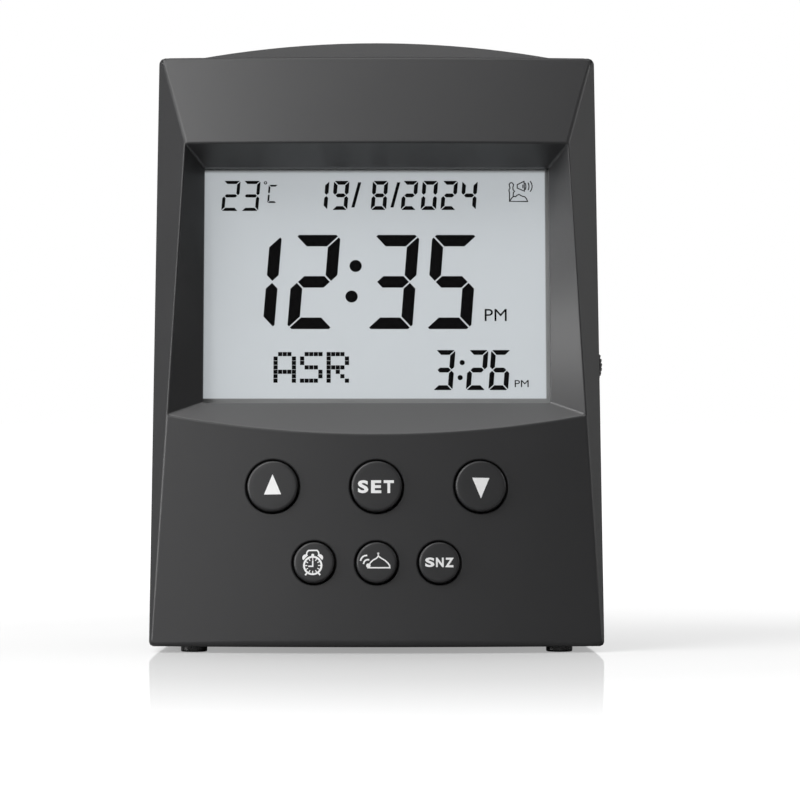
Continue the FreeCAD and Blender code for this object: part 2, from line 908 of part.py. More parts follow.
def main_board():
    """Circuit board, notched round the case bosses."""
    half = narrow_width / 2 - board_inset
    board_u = (board_foot, shoulder_height - board_below_shoulder)
    board = seam_box((-half, half), board_u, (board_back, board_forward))
    for x, u in case_screw_places:
        radius = case_boss_radius + board_notch_clearance
        board = board.cut(seam_cylinder(x, u, (-reach, reach), radius))
    for x, u in board_screw_places:
        radius = board_screw_radius + shank_clearance
        board = board.cut(seam_cylinder(x, u, (-reach, reach), radius))
    return board


def board_components():
    """Chips, crystal, socket and capacitors on the back of the board."""
    solids = []
    for x, u, width, height, thickness in board_chips:
        span_x = (x - width / 2, x + width / 2)
        span_u = (u - height / 2, u + height / 2)
        solids.append(seam_box(span_x, span_u, (board_back - thickness, board_back)))
    for x, u in capacitor_places:
        solids.append(seam_cylinder(x, u, (board_back - capacitor_height, board_back), capacitor_radius))
    return Part.makeCompound(solids)


# ---- Volume control ----


def volume_pot():
    """Potentiometer on the back of the board, with its spindle."""
    half = pot_size / 2
    x = (pot_edge - pot_size, pot_edge)
    body = seam_box(x, (wheel_u - half, wheel_u + half), (board_back - pot_height, board_back))
    end = wheel_back - spindle_proud
    return body.fuse(seam_cylinder(wheel_x, wheel_u, (end, board_back), spindle_radius))


def volume_wheel():
    """Thumb wheel that stands out of the right side."""
    wheel = seam_cylinder(wheel_x, wheel_u, (wheel_back, wheel_front), wheel_radius)
    wheel = wheel.makeChamfer(wheel_edge, [e for e in wheel.Edges if isinstance(e.Curve, Part.Circle)])
    return wheel.cut(
        seam_cylinder(wheel_x, wheel_u, (-reach, reach), spindle_radius + spindle_clearance)
    )


# ---- Speaker: turned forms about the speaker's axis ----


def turned(profile):
    """Solid of revolution from radius and depth pairs about the speaker's axis."""
    points = [Vector(r, 0, d) for r, d in profile]
    face = Part.Face(Part.makePolygon(points + points[:1]))
    solid = face.revolve(Vector(0, 0, 0), Vector(0, 0, 1))
    solid.Placement = FreeCAD.Placement(Vector(0, speaker_v, speaker_front), FreeCAD.Rotation())
    return placed(solid, back_place)


rim_inner = speaker_radius - speaker_rim_width


def speaker_frame():
    """Pressed steel basket: flat rim, sloping wall and a flat floor for the magnet."""
    t = speaker_basket_wall
    return turned(
        [
            (speaker_radius, cone_wall),
            (speaker_radius, rim_back),
            (rim_inner, rim_back),
            (speaker_basket_radius, basket_top),
            (0, basket_top),
            (0, basket_top - t),
            (speaker_basket_radius - t, basket_top - t),
            (rim_inner - t, cone_wall),
        ]
    )


def speaker_cone():
    """Paper cone with its surround, glued to the front of the basket's rim."""
    t = cone_wall
    return turned(
        [
            (speaker_radius - cone_gap, 0),
            (speaker_radius - cone_gap, t),
            (rim_inner - 2 * cone_gap, t),
            (cone_neck_radius, cone_top),
            (0, cone_top),
            (0, cone_top - t),
            (cone_neck_radius - t, cone_top - t),
            (rim_inner - 2 * cone_gap - t, 0),
        ]
    )


def speaker_magnet():
    """Magnet and yoke on the basket's floor."""
    return turned(
        [
            (0, basket_top),
            (magnet_radius, basket_top),
            (magnet_radius, magnet_top),
            (0, magnet_top),
        ]
    )


# ---- Cells, contacts and battery door ----

# Each row's sign gives the side of its raised terminal
cell_depth = door_thickness + cell_clearance + cell_radius
cell_pitch = 2 * cell_radius + cell_spacing
cell_rows = [bay_v[0] + bay_end_gap + cell_radius + i * cell_pitch for i in (0, 1)]
plus_side = (-1, 1)
plate_inner = bay_length / 2 - plate_thickness
cell_plus_end = plate_inner


def along_x(x, v, radius):
    """Cylinder along X between two values of x, at a row of cells."""
    cylinder = Part.makeCylinder(radius, x[1] - x[0], Vector(x[0], v, cell_depth), Vector(1, 0, 0))
    return placed(cylinder, back_place)


def cells():
    """Two AA cells, one each way round, each with its raised terminal."""
    solids = []
    for sign, v in zip(plus_side, cell_rows):
        shoulder = cell_plus_end - cell_nub_length
        body = along_x(sorted((sign * shoulder, sign * (shoulder - cell_length))), v, cell_radius)
        nub = along_x(sorted((sign * shoulder, sign * cell_plus_end)), v, cell_nub_radius)
        solids.append(body.fuse(nub))
    return Part.makeCompound(solids)


def contact_plates():
    """Plated steel plates at both ends of each row of cells."""
    solids = []
    for v in cell_rows:
        for sign in (-1, 1):
            x = sorted((sign * bay_length / 2, sign * plate_inner))
            half = plate_width / 2
            solids.append(back_box(x, (v - half, v + half), (cell_depth - half, cell_depth + half)))
    return Part.makeCompound(solids)


def contact_springs():
    """Bowed leaf springs that press on each cell's flat end."""
    solids = []
    flat_end = cell_length - (cell_plus_end - cell_nub_length)
    t = spring_thickness
    foot = plate_width / 2
    for sign, v in zip(plus_side, cell_rows):
        bow = [
            (plate_inner, foot),
            (flat_end, spring_nose),
            (flat_end, -spring_nose),
            (plate_inner, -foot),
        ]
        hollow = [
            (plate_inner, foot - 2 * t),
            (flat_end + t, spring_nose - t / 2),
            (flat_end + t, t / 2 - spring_nose),
            (plate_inner, 2 * t - foot),
        ]
        outlines = []
        for corners in (bow, hollow):
            points = [Vector(-sign * x, v - spring_width / 2, cell_depth + d) for x, d in corners]
            outlines.append(Part.Face(Part.makePolygon(points + points[:1])))
        strip = outlines[0].cut(outlines[1]).extrude(Vector(0, spring_width, 0))
        solids.append(placed(strip, back_place))
    return Part.makeCompound(solids)


def battery_door():
    """Door set flush in the back, with finger ridges and two lugs along its head."""
    x = grown(door_x, -door_clearance)
    v = grown(door_v, -door_clearance)
    door = back_box(x, v, (0, door_thickness))
    top = door_v[1] - door_grip_pitch
    for i in range(door_grip_count):
        row = top - i * door_grip_pitch
        half = door_grip_width / 2
        groove = (row - door_grip_pitch / 2, row)
        door = door.cut(back_box((-half, half), groove, (-wall, door_grip_depth)))
    for lug in lug_places:
        lug_x = (lug - door_lug_width / 2, lug + door_lug_width / 2)
        foot = bay_v[1] - 2 * door_lug_clearance
        lug_v = (foot, foot + door_lug_thickness)
        depth = (door_thickness, door_thickness + door_lug_depth - door_lug_clearance)
        door = door.fuse(back_box(lug_x, lug_v, depth))
    return door.removeSplitter()


def feet():
    """Rubber feet pressed into round sockets."""
    solids = []
    for x, y in foot_places():
        foot = Part.makeCylinder(foot_radius, foot_height + foot_socket_depth, Vector(x, y, 0))
        low = [e for e in foot.Edges if e.BoundBox.ZMax < foot_edge]
        solids.append(foot.makeFillet(foot_edge, low))
    return Part.makeCompound(solids)


case_screw_size = (case_screw_radius, case_screw_length, case_head_radius, case_head_height)
board_screw_size = (board_screw_radius, board_screw_length, board_head_radius, board_head_height)

save("front_shell", front_shell())
save("rear_shell", rear_shell())
save("display_window", display_window())
save("lcd_panel", seam_box(glass_x, glass_u, (glass_back, glass_front)))
save("lcd_frame", lcd_frame())
save("light_guide", light_guide())
save("zebra_strips", zebra_strips())
save("main_board", main_board())
save("board_components", board_components())
save("tact_switches", tact_switches())
for button_name, button_place in buttons.items():
    save(button_name, button(*button_place))
save("volume_pot", volume_pot())
save("volume_wheel", volume_wheel())
save("speaker_frame", speaker_frame())
save("speaker_cone", speaker_cone())
save("speaker_magnet", speaker_magnet())
save("speaker_screws", clip_screws())
save("cells", cells())
save("contact_plates", contact_plates())
save("contact_springs", contact_springs())
save("battery_door", battery_door())
save("rubber_feet", feet())
save("case_screws", screws(case_screw_places, case_boss_end - case_post_floor, case_screw_size))
save("board_screws", screws(board_screw_places, board_back, board_screw_size))
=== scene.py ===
import bpy
import math
import numpy as np
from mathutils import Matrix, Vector


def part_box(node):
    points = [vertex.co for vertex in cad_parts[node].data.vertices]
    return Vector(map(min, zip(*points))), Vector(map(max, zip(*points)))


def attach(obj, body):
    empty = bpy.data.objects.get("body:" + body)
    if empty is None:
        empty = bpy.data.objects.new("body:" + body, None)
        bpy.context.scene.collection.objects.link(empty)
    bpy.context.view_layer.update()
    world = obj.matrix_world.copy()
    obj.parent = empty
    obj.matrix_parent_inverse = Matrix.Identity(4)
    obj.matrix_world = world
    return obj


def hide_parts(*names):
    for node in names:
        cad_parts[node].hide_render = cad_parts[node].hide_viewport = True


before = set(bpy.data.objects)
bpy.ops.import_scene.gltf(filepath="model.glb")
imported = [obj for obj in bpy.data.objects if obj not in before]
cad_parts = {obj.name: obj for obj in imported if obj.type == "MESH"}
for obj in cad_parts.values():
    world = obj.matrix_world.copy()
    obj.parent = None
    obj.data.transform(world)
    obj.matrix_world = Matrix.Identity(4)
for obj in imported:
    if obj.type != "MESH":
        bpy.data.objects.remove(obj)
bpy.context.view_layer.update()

# ---------------------------------------------------------------- Front shell
# The front half of the case: button panel, hooded display recess, brow and two cheeks in one moulding.
# It is injection moulded in charcoal ABS with a fine spark-eroded grain. Four long screws from behind
# draw it against the rear shell.

MM = 0.001

case_width = 86.0
case_top_width = 84.2
shoulder = 113.7
ridge = 96.7
foot = 1.15
step_at_foot = 0.7
step_at_ridge = 8.6
step_at_top = 0.8
cheek_slope = math.tan(math.radians(33.0))
side_draft = math.tan(math.radians(2.5))
bulge_radius = 220.0
lean = math.radians(12.0)
top_corner = 1.3
foot_corner = 1.0
shell_wall = 1.5
glass_foot = 46.2
glass_front = -1.6
window_half = 33.15
window_low = 47.9
window_high = 94.2
window_front = 1.0
window_back = -0.4
recess_corner = 44.75
recess_middle = 41.15

seam_sin, seam_cos = math.sin(lean), math.cos(lean)
ahead_axis = (0.0, -seam_cos, seam_sin)
draw_in = (case_width - case_top_width) / 2 / shoulder
seam_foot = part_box("lcd_panel")[0][1] / MM - glass_foot * seam_sin + glass_front * seam_cos


def seam_y(z):
    """Where the plane between the two shells lies at height z."""
    return seam_foot + z * math.tan(lean)


def from_seam(x, u, w):
    """Points in the clock's frame from x, distance up the seam plane and distance ahead of it."""
    x, u, w = np.broadcast_arrays(x, u, w)
    return np.stack([x, seam_foot + u * seam_sin - w * seam_cos, u * seam_cos + w * seam_sin], -1)


def up_seam(y, z):
    """Distance up the seam plane of points in the clock's frame."""
    return (y - seam_foot) * seam_sin + z * seam_cos


def half_width(z):
    """Half the width of the case at the seam, which narrows in a straight line."""
    return case_width / 2 - draw_in * z


def bulge(x):
    """How far the front's arc falls back at distance x from its crown."""
    return bulge_radius - np.sqrt(bulge_radius**2 - x**2)


def crown(z, step):
    """Where the front's crown lies at a level whose corners stand a step ahead of the seam."""
    return seam_y(z) - step - bulge(half_width(z) - cheek_slope * step)


crown_foot = crown(foot, step_at_foot)
crown_ridge = crown(ridge, step_at_ridge)
panel_slope = (crown_ridge - crown_foot) / (ridge - foot)
brow_slope = (crown(shoulder, step_at_top) - crown_ridge) / (shoulder - ridge)


def panel_y(x, z):
    """The button panel: an arc carried up a sloping line."""
    return crown_foot + (z - foot) * panel_slope + bulge(x)


def brow_y(x, z):
    """The brow: the same arc carried up a flatter line."""
    return crown_ridge + (z - ridge) * brow_slope + bulge(x)


def cheek_y(x, z):
    """The cheek: a plane through the side edge of the seam."""
    return seam_y(z) - (half_width(z) - np.abs(x)) / cheek_slope


def crease_x(z, face_y):
    """Half-width at which a cheek meets the panel or the brow, by Newton's steps from the cheek's middle."""
    x = half_width(z) - cheek_slope * step_at_ridge / 2
    for _ in range(8):
        slope = x / np.sqrt(bulge_radius**2 - x**2) - 1 / cheek_slope
        x = x - (face_y(x, z) - cheek_y(x, z)) / slope
    return x


def face_ahead(x, u, crown_at, level, slope):
    """Distance ahead of the seam, at x and u, of an arc carried up a sloping line from a crown."""
    rest = seam_foot + u * seam_sin - crown_at - (u * seam_cos - level) * slope - bulge(x)
    return rest / (seam_cos + seam_sin * slope)


def panel_ahead(x, u, proud=0.0):
    """Distance ahead of the seam of the panel, or of a surface proud of it."""
    return face_ahead(x, u, crown_foot - proud, foot, panel_slope)


def front_ahead(x, u):
    """Distance ahead of the seam of whichever of panel, brow and cheek is the lowest there."""
    inside = case_width / 2 - draw_in * u * seam_cos - np.abs(x)
    cheek = inside / (cheek_slope / seam_cos + draw_in * seam_sin)
    brow = face_ahead(x, u, crown_ridge, ridge, brow_slope)
    return np.minimum(np.minimum(panel_ahead(x, u), brow), cheek)


off_border = 0.000317


def merged(points, faces):
    """Points and faces with points that coincide to a micron made one and points on no face left out.
    The small odd offset keeps round figures away from the border between two microns."""
    used = np.unique(np.concatenate(faces))
    number = np.zeros(len(points), int)
    number[used] = np.arange(len(used))
    places = np.round(points[used] + off_border, 3)
    _, first, same = np.unique(places, axis=0, return_index=True, return_inverse=True)
    same = same.reshape(-1)[number]
    whole = [list(dict.fromkeys(same[list(face)].tolist())) for face in faces]
    return points[used][first], whole


class Sheet:
    """A surface put together from grids of points. Each grid belongs to a named face of the moulding."""

    def __init__(self):
        self.points, self.quads, self.names = [], [], []
        self.count = 0

    def grid(self, name, points, outward, keep=None):
        """Adds a grid of rows and columns, turned so that it faces outward; keep masks its cells."""
        rows, columns = points.shape[:2]
        index = self.count + np.arange(rows * columns).reshape(rows, columns)
        quads = np.stack([index[:-1, :-1], index[:-1, 1:], index[1:, 1:], index[1:, :-1]], -1)
        across = np.diff(points, axis=1)[:-1]
        along = np.diff(points, axis=0)[:, :-1]
        if np.cross(across, along).sum((0, 1)) @ np.asarray(outward, float) < 0:
            quads = quads[..., ::-1]
        quads = quads[keep] if keep is not None else quads.reshape(-1, 4)
        self.points.append(points.reshape(-1, 3))
        self.quads.append(quads)
        self.names += [name] * len(quads)
        self.count += rows * columns

    def sewn(self):
        """Points and faces with the grids joined, and the name of each face."""
        points, faces = merged(np.concatenate(self.points), np.concatenate(self.quads))
        whole = [(face, name) for face, name in zip(faces, self.names) if len(face) > 2]
        return points, [face for face, _ in whole], [name for _, name in whole]


# The panel's grid, by numbers of cells between the sides of the squares round the buttons
large_pitch, large_level, large_cap = 19.65, 31.3, 4.77
small_pitch, small_level, small_cap = 11.8, 17.0, 3.82
button_gap = 0.35
large_square, small_square = 6.4, 5.3
hole_cells = 12
column_key = np.cumsum([0, 10, hole_cells, 4, hole_cells, 4, hole_cells, 10])
columns = np.arange(column_key[-1] + 1)
row_key = np.cumsum([0, 5, hole_cells, 3, hole_cells, 6])
rows = np.arange(row_key[-1] + 1)
corner_rows, corner_samples = 5, 2000


def outline_corner(level, radius, up, face_y):
    """A rounded corner of the outline in front view, from the side edge round to the cheek's crease."""
    angle = np.linspace(0, math.pi / 2, corner_samples)
    x = half_width(level) - radius + radius * np.cos(angle)
    z = level - up * radius + up * radius * np.sin(angle)
    meeting = np.argmin(np.abs(x - crease_x(z, face_y)))
    x[meeting] = crease_x(z[meeting], face_y)
    picked = np.linspace(0, meeting, corner_rows + 1).round().astype(int)
    return np.stack([x[picked], z[picked]], -1)


def outline_z(x, level, radius, up):
    """Height of the outline's top or foot line over x, with the start of its rounded corners."""
    over = np.clip(np.abs(x) - (half_width(level) - radius), 0, radius)
    return level - up * (radius - np.sqrt(radius**2 - over**2))


def square_sides(pitch, half):
    """The sides of the squares round a row of three buttons."""
    return [middle + side * half for middle in (-pitch, 0.0, pitch) for side in (-1, 1)]


def button_u(x, level):
    """Where a button's axis lies up the seam, from the level at which it meets the panel."""
    return up_seam(panel_y(x, level), level)


def panel_line(edge_z, pitch, level, half, shift):
    """One line of the panel's grid along the top or foot of a row of squares: x and u of each column."""
    edge = crease_x(edge_z, panel_y)
    edge_u = up_seam(panel_y(edge, edge_z), edge_z)
    x = np.interp(columns, column_key, [-edge] + square_sides(pitch, half) + [edge])
    levels = np.repeat([button_u(middle, level) + shift for middle in (-pitch, 0.0, pitch)], 2)
    return np.stack([x, np.interp(columns, column_key, [edge_u, *levels, edge_u])], -1)


def on_panel_line(x, z):
    """A line on the panel as x and u."""
    return np.stack([x, up_seam(panel_y(x, z), z)], -1)


top_arc = outline_corner(shoulder, top_corner, 1, brow_y)
foot_arc = outline_corner(foot, foot_corner, -1, panel_y)
recess_edge = crease_x(recess_corner, panel_y)
marks = [side / recess_edge for side in square_sides(large_pitch, large_square)]
share = np.interp(columns, column_key, [-1, *marks, 1])
arch_z = recess_middle + (recess_corner - recess_middle) * share**2
arch_x = share * crease_x(arch_z, panel_y)
foot_x = panel_line(foot_arc[-1, 1], small_pitch, small_level, small_square, 0)[:, 0]
foot_x = foot_x * foot_arc[-1, 0] / foot_x[-1]
foot_z = outline_z(foot_x, foot, foot_corner, -1)
foot_z[[0, -1]] = foot_arc[-1, 1]
edge_levels = (
    recess_corner,
    large_level + large_square,
    large_level - large_square,
    small_level + small_square,
    small_level - small_square,
    foot_arc[-1, 1],
)
large_row = (large_pitch, large_level, large_square)
small_row = (small_pitch, small_level, small_square)
panel_lines = np.stack(
    [
        on_panel_line(arch_x, arch_z),
        panel_line(edge_levels[1], *large_row, large_square),
        panel_line(edge_levels[2], *large_row, -large_square),
        panel_line(edge_levels[3], *small_row, small_square),
        panel_line(edge_levels[4], *small_row, -small_square),
        on_panel_line(foot_x, foot_z),
    ]
)
band = np.searchsorted(row_key, rows, side="right").clip(1, len(row_key) - 1) - 1
along = ((rows - row_key[band]) / np.diff(row_key)[band])[:, None, None]
panel_xu = panel_lines[band] * (1 - along) + panel_lines[band + 1] * along
edge_z = np.interp(rows, row_key, edge_levels)
edge_x = crease_x(edge_z, panel_y)
for column, sign in ((0, -1), (-1, 1)):
    panel_xu[:, column] = on_panel_line(sign * edge_x, edge_z)

# Panel, with rings of quads from each square in to its hole and down the bore
front = Sheet()
panel_keep = np.ones((len(rows) - 1, len(columns) - 1), bool)
bore_end = 2.6
ring_share = np.array([0.0, 0.3, 0.5, 0.75, 1.0])[:, None, None]
bore_share = np.linspace(0, 1, 4)[:, None]
button_rows = ((row_key[1], large_row, large_cap), (row_key[3], small_row, small_cap))
for row_start, (pitch, level, _), cap in button_rows:
    for number, middle in enumerate((-pitch, 0.0, pitch)):
        left = column_key[1 + 2 * number]
        cells = (slice(row_start, row_start + hole_cells), slice(left, left + hole_cells))
        panel_keep[cells] = False
        block = panel_xu[row_start : row_start + hole_cells + 1, left : left + hole_cells + 1]
        square = np.concatenate([block[0, :-1], block[:-1, -1], block[-1, :0:-1], block[::-1, 0]])
        angle = math.radians(135) - np.linspace(0, 2 * math.pi, len(square))
        round_line = np.stack([np.cos(angle), np.sin(angle)], -1) * (cap + button_gap)
        circle = round_line + [middle, button_u(middle, level)]
        rings = circle * (1 - ring_share) + square * ring_share
        front.grid("panel", from_seam(*rings.T, panel_ahead(*rings.T)).transpose(1, 0, 2), (0, -1, 0))
        depth = panel_ahead(*circle.T) * (1 - bore_share) + bore_end * bore_share
        bore = from_seam(*circle.T, depth)
        for start in range(0, len(square) - 1, hole_cells):
            part = bore[:, start : start + hole_cells + 1]
            front.grid(f"bore_{level}_{number}", part, bore[:, :-1].mean((0, 1)) - part.mean((0, 1)))
panel = from_seam(*panel_xu.T, panel_ahead(*panel_xu.T)).transpose(1, 0, 2)
front.grid("panel", panel, (0, -1, 0), panel_keep)

# Brow
brow_rows, closer_rows = 12, 1.3
rise = 1 - np.linspace(1, 0, brow_rows + 1) ** closer_rows
brow_z = ridge + (top_arc[-1, 1] - ridge) * rise
top_x = share * top_arc[-1, 0]
top_z = outline_z(top_x, shoulder, top_corner, 1)
top_z[[0, -1]] = top_arc[-1, 1]
brow_x = share * crease_x(brow_z, brow_y)[:, None]
brow_zs = ridge + (top_z - ridge) * rise[:, None]
front.grid("brow", np.stack([brow_x, brow_y(brow_x, brow_zs), brow_zs], -1), (0, -1, 0))

# Cheeks, from the crease out to the outline: beside the panel, beside the recess and beside the brow
side_rows = 26
cheek_share = np.array([0.0, 0.7, 0.85, 1.0])[:, None]
side_z = np.linspace(recess_corner, ridge, side_rows + 1)
side_x = crease_x(side_z, panel_y)


def side_line(start, arc, count):
    """The outline's side from a level to a rounded corner, and round that corner."""
    z = np.linspace(start, arc[0, 1], count - corner_rows)
    return np.concatenate([np.stack([half_width(z), z], -1), arc[1:]])


stretches = (
    (np.stack([edge_x, edge_z], -1), side_line(recess_corner, foot_arc, len(rows))),
    (np.stack([side_x, side_z], -1), np.stack([half_width(side_z), side_z], -1)),
    (np.stack([crease_x(brow_z, brow_y), brow_z], -1), side_line(ridge, top_arc, brow_rows + 1)),
)
for sign, name in ((-1, "left"), (1, "right")):
    for inner, outer in stretches:
        x, z = np.moveaxis(inner * (1 - cheek_share[..., None]) + outer * cheek_share[..., None], -1, 0)
        front.grid(f"cheek_{name}", np.stack([sign * x, cheek_y(x, z), z], -1), (sign, -1, 0))

# Strips over the top and under the foot, back to the seam, round both rounded corners
strip_share = np.array([0.0, 0.85, 0.93, 1.0])[:, None]
for name, arc, middle_x, middle_z, face_y, up in (
    ("top", top_arc, top_x, top_z, brow_y, 1),
    ("underside", foot_arc, foot_x, foot_z, panel_y, -1),
):
    x = np.concatenate([-arc[:, 0], middle_x[1:-1], arc[::-1, 0]])
    z = np.concatenate([arc[:, 1], middle_z[1:-1], arc[::-1, 1]])
    corner = cheek_y(*arc.T)
    y = np.concatenate([corner, face_y(middle_x, middle_z)[1:-1], corner[::-1]])
    depth = y * (1 - strip_share) + seam_y(z) * strip_share
    front.grid(name, np.stack(np.broadcast_arrays(x, depth, z), -1), (0, 0, up))

# Recess: ruled walls from its outline down to the window's edge, and the lip behind that edge
wall_share = np.linspace(0, 1, 7)[:, None, None]
lip_share = np.array([0.0, 1.0])[:, None, None]
side_u = np.linspace(window_low, window_high, side_rows + 1)
ridge_x = share * side_x[-1]
ridge_line = np.stack([ridge_x, panel_y(ridge_x, ridge), np.full_like(ridge_x, ridge)], -1)
arch_line = np.stack([arch_x, panel_y(arch_x, arch_z), arch_z], -1)
left_line, right_line = (np.stack([sign * side_x, panel_y(side_x, side_z), side_z], -1) for sign in (-1, 1))
for name, outline, x, u, outward in (
    ("head", ridge_line, share * window_half, window_high, (0, 0, -1)),
    ("foot", arch_line, share * window_half, window_low, (0, 0, 1)),
    ("left", left_line, -window_half, side_u, (1, 0, 0)),
    ("right", right_line, window_half, side_u, (-1, 0, 0)),
):
    edge, back = from_seam(x, u, window_front), from_seam(x, u, window_back)
    front.grid("recess_" + name, outline * (1 - wall_share) + edge * wall_share, outward)
    front.grid("lip_" + name, edge * (1 - lip_share) + back * lip_share, outward)


on_seam, same_way = 0.01, 0.25


def thickened(points, faces, names, thickness):
    """A closed wall behind a sheet. Each point moves so far that every named face it lies on moves back
    by the thickness, which is the least-squares answer of one equation a face. Faces that point much the
    same way count as one. Points on the seam stay in it, and none goes behind it."""
    quads = np.array([face + face[-1:] * (4 - len(face)) for face in faces])
    kinds, kind = np.unique(names, return_inverse=True)
    a, b, c, d = (points[quads[:, i]] for i in range(4))
    normal = np.cross(c - a, d - b)
    facing = np.zeros((len(points), len(kinds) + 1, 3))
    for i in range(4):
        np.add.at(facing, (quads[:, i], kind.reshape(-1)), normal)
    size = np.linalg.norm(facing, axis=-1, keepdims=True)
    facing = facing / np.where(size > 0, size, 1)
    move = np.where(size[..., 0] > 0, -thickness, 0.0)
    seam_offset = seam_foot * seam_cos
    facing[np.abs(points @ ahead_axis + seam_offset) < on_seam, -1] = ahead_axis
    inner = points + np.einsum("vij,vj->vi", np.linalg.pinv(facing, rcond=same_way), move)
    behind = np.minimum(inner @ ahead_axis + seam_offset, 0)
    inner = inner - behind[:, None] * ahead_axis
    n = len(points)
    edges = {(i, j) for face in faces for i, j in zip(face, face[1:] + face[:1])}
    rim = [(i, j) for i, j in sorted(edges) if (j, i) not in edges]
    inside = [[i + n for i in reversed(face)] for face in faces]
    return np.concatenate([points, inner]), faces + inside + [[j, i, i + n, j + n] for i, j in rim]


def ringed(points, closed=False):
    """Quads between rows of points that are closed rings, turned outwards by the sign of their volume.
    Closed also joins the last ring to the first."""
    rings, sides = points.shape[:2]
    index = np.arange(rings * sides).reshape(rings, sides)
    after = np.roll(index, -1, 0) if closed else index[1:]
    index = index if closed else index[:-1]
    quads = np.stack([index, np.roll(index, -1, 1), np.roll(after, -1, 1), after], -1).reshape(-1, 4)
    flat = points.reshape(-1, 3)
    a, b, c, d = (flat[quads[:, i]] for i in range(4))
    volume = (a * np.cross(b, c)).sum() + (a * np.cross(c, d)).sum()
    return flat, (quads if volume > 0 else quads[:, ::-1]).tolist()


def gathered(parts):
    """Several sets of points and faces made one."""
    points, faces, count = [], [], 0
    for part_points, part_faces in parts:
        points.append(part_points)
        faces += [[i + count for i in face] for face in part_faces]
        count += len(part_points)
    return np.concatenate(points), faces


boss_sides, boss_sink = 32, 0.7


def boss(x, u, near, outer, inner):
    """A tube square to the seam whose front end is sunk into the wall of the front, whatever its slope."""
    angle = np.linspace(0, 2 * math.pi, boss_sides, endpoint=False)
    radius = np.array([outer, outer, inner, inner])[:, None]
    xs, us = x + radius * np.cos(angle), u + radius * np.sin(angle)
    root = front_ahead(xs, us) - shell_wall * boss_sink
    end = np.array([True, False, False, True])[:, None]
    return ringed(from_seam(xs, us, np.where(end, near, root)), closed=True)


sharp_angle = 32


def new_piece(name, points, faces):
    """A mesh object in the clock's frame from millimetres, smooth but for its sharp edges."""
    mesh = bpy.data.meshes.new(name)
    mesh.from_pydata((points * MM).tolist(), [], [face for face in faces if len(face) > 2])
    mesh.polygons.foreach_set("use_smooth", np.ones(len(mesh.polygons), bool))
    mesh.update()
    mesh.set_sharp_from_angle(angle=math.radians(sharp_angle))
    piece = bpy.data.objects.new(name, mesh)
    bpy.context.scene.collection.objects.link(piece)
    return piece


# Screw bosses, and the tongue that closes the slot of the volume wheel
case_screw_x, case_screw_us = 36.0, (18.0, 104.0)
board_screw_x, board_screw_us = 30.0, (40.0, 102.0)
case_boss_end, board_face = -12.0, -5.6
case_boss_radii, board_boss_radii = (3.0, 1.45), (2.6, 1.15)
tongue_us, tongue_back, tongue_root = (50.92, 64.22), -8.9, 1.0
tongue_wall, tongue_shoulder = 2.0, 1.2

sheet_points, sheet_faces, sheet_names = front.sewn()
parts = [thickened(sheet_points, sheet_faces, sheet_names, shell_wall)]
for sign in (-1, 1):
    parts += [boss(sign * case_screw_x, u, case_boss_end, *case_boss_radii) for u in case_screw_us]
    parts += [boss(sign * board_screw_x, u, board_face, *board_boss_radii) for u in board_screw_us]
tongue_w = np.array([tongue_back, 0, tongue_root, tongue_root, tongue_back])
tongue_u = np.array(tongue_us)[:, None]
side = half_width(tongue_u * seam_cos) + tongue_w.clip(max=0) / seam_cos * side_draft
inset = np.array([0, 0, tongue_shoulder, tongue_wall, tongue_wall])
loops = from_seam(side - inset, tongue_u, tongue_w)
ends = loops.mean(1, keepdims=True) + np.zeros_like(loops)
parts.append(merged(*ringed(np.concatenate([ends[:1], loops, ends[1:]]))))

shell_points, shell_faces = gathered(parts)
shell = new_piece("front_shell_moulding", shell_points, shell_faces)

crease_widths = {
    ("brow", "top"): 0.6,
    ("cheek", "top"): 0.6,
    ("panel", "underside"): 1.5,
    ("brow", "recess_head"): 0.4,
    ("panel", "recess_foot"): 0.4,
    ("brow", "cheek"): 0.6,
    ("cheek", "panel"): 0.35,
    ("cheek", "recess"): 0.35,
    ("recess", "recess"): 0.4,
    ("lip", "recess"): 0.18,
    ("bore", "panel"): 0.32,
}
seam_crease, plain_corner = 0.12, 5.0
crease_room, cheek_room = 0.45, 0.2
flat_angle = 40
widest_crease = max(crease_widths.values())


def crease_width(first, second):
    """Width of the rounding between two named faces of the moulding."""
    for pair, width in crease_widths.items():
        for a, b in ((first, second), (second, first)):
            if first != second and a.startswith(pair[0]) and b.startswith(pair[1]):
                return width
    return 0.0


def edge_width(names, ahead, seam):
    """Width of an edge's rounding. Between two named faces it is their crease's, and no more than a share
    of the edge's distance ahead of the seam. An edge of one such face lies on the seam. Others stay sharp."""
    if len(names) != 2:
        return seam * len(names)
    room = cheek_room if any(name.startswith("cheek") for name in names) else crease_room
    return min(crease_width(*names), ahead * room)


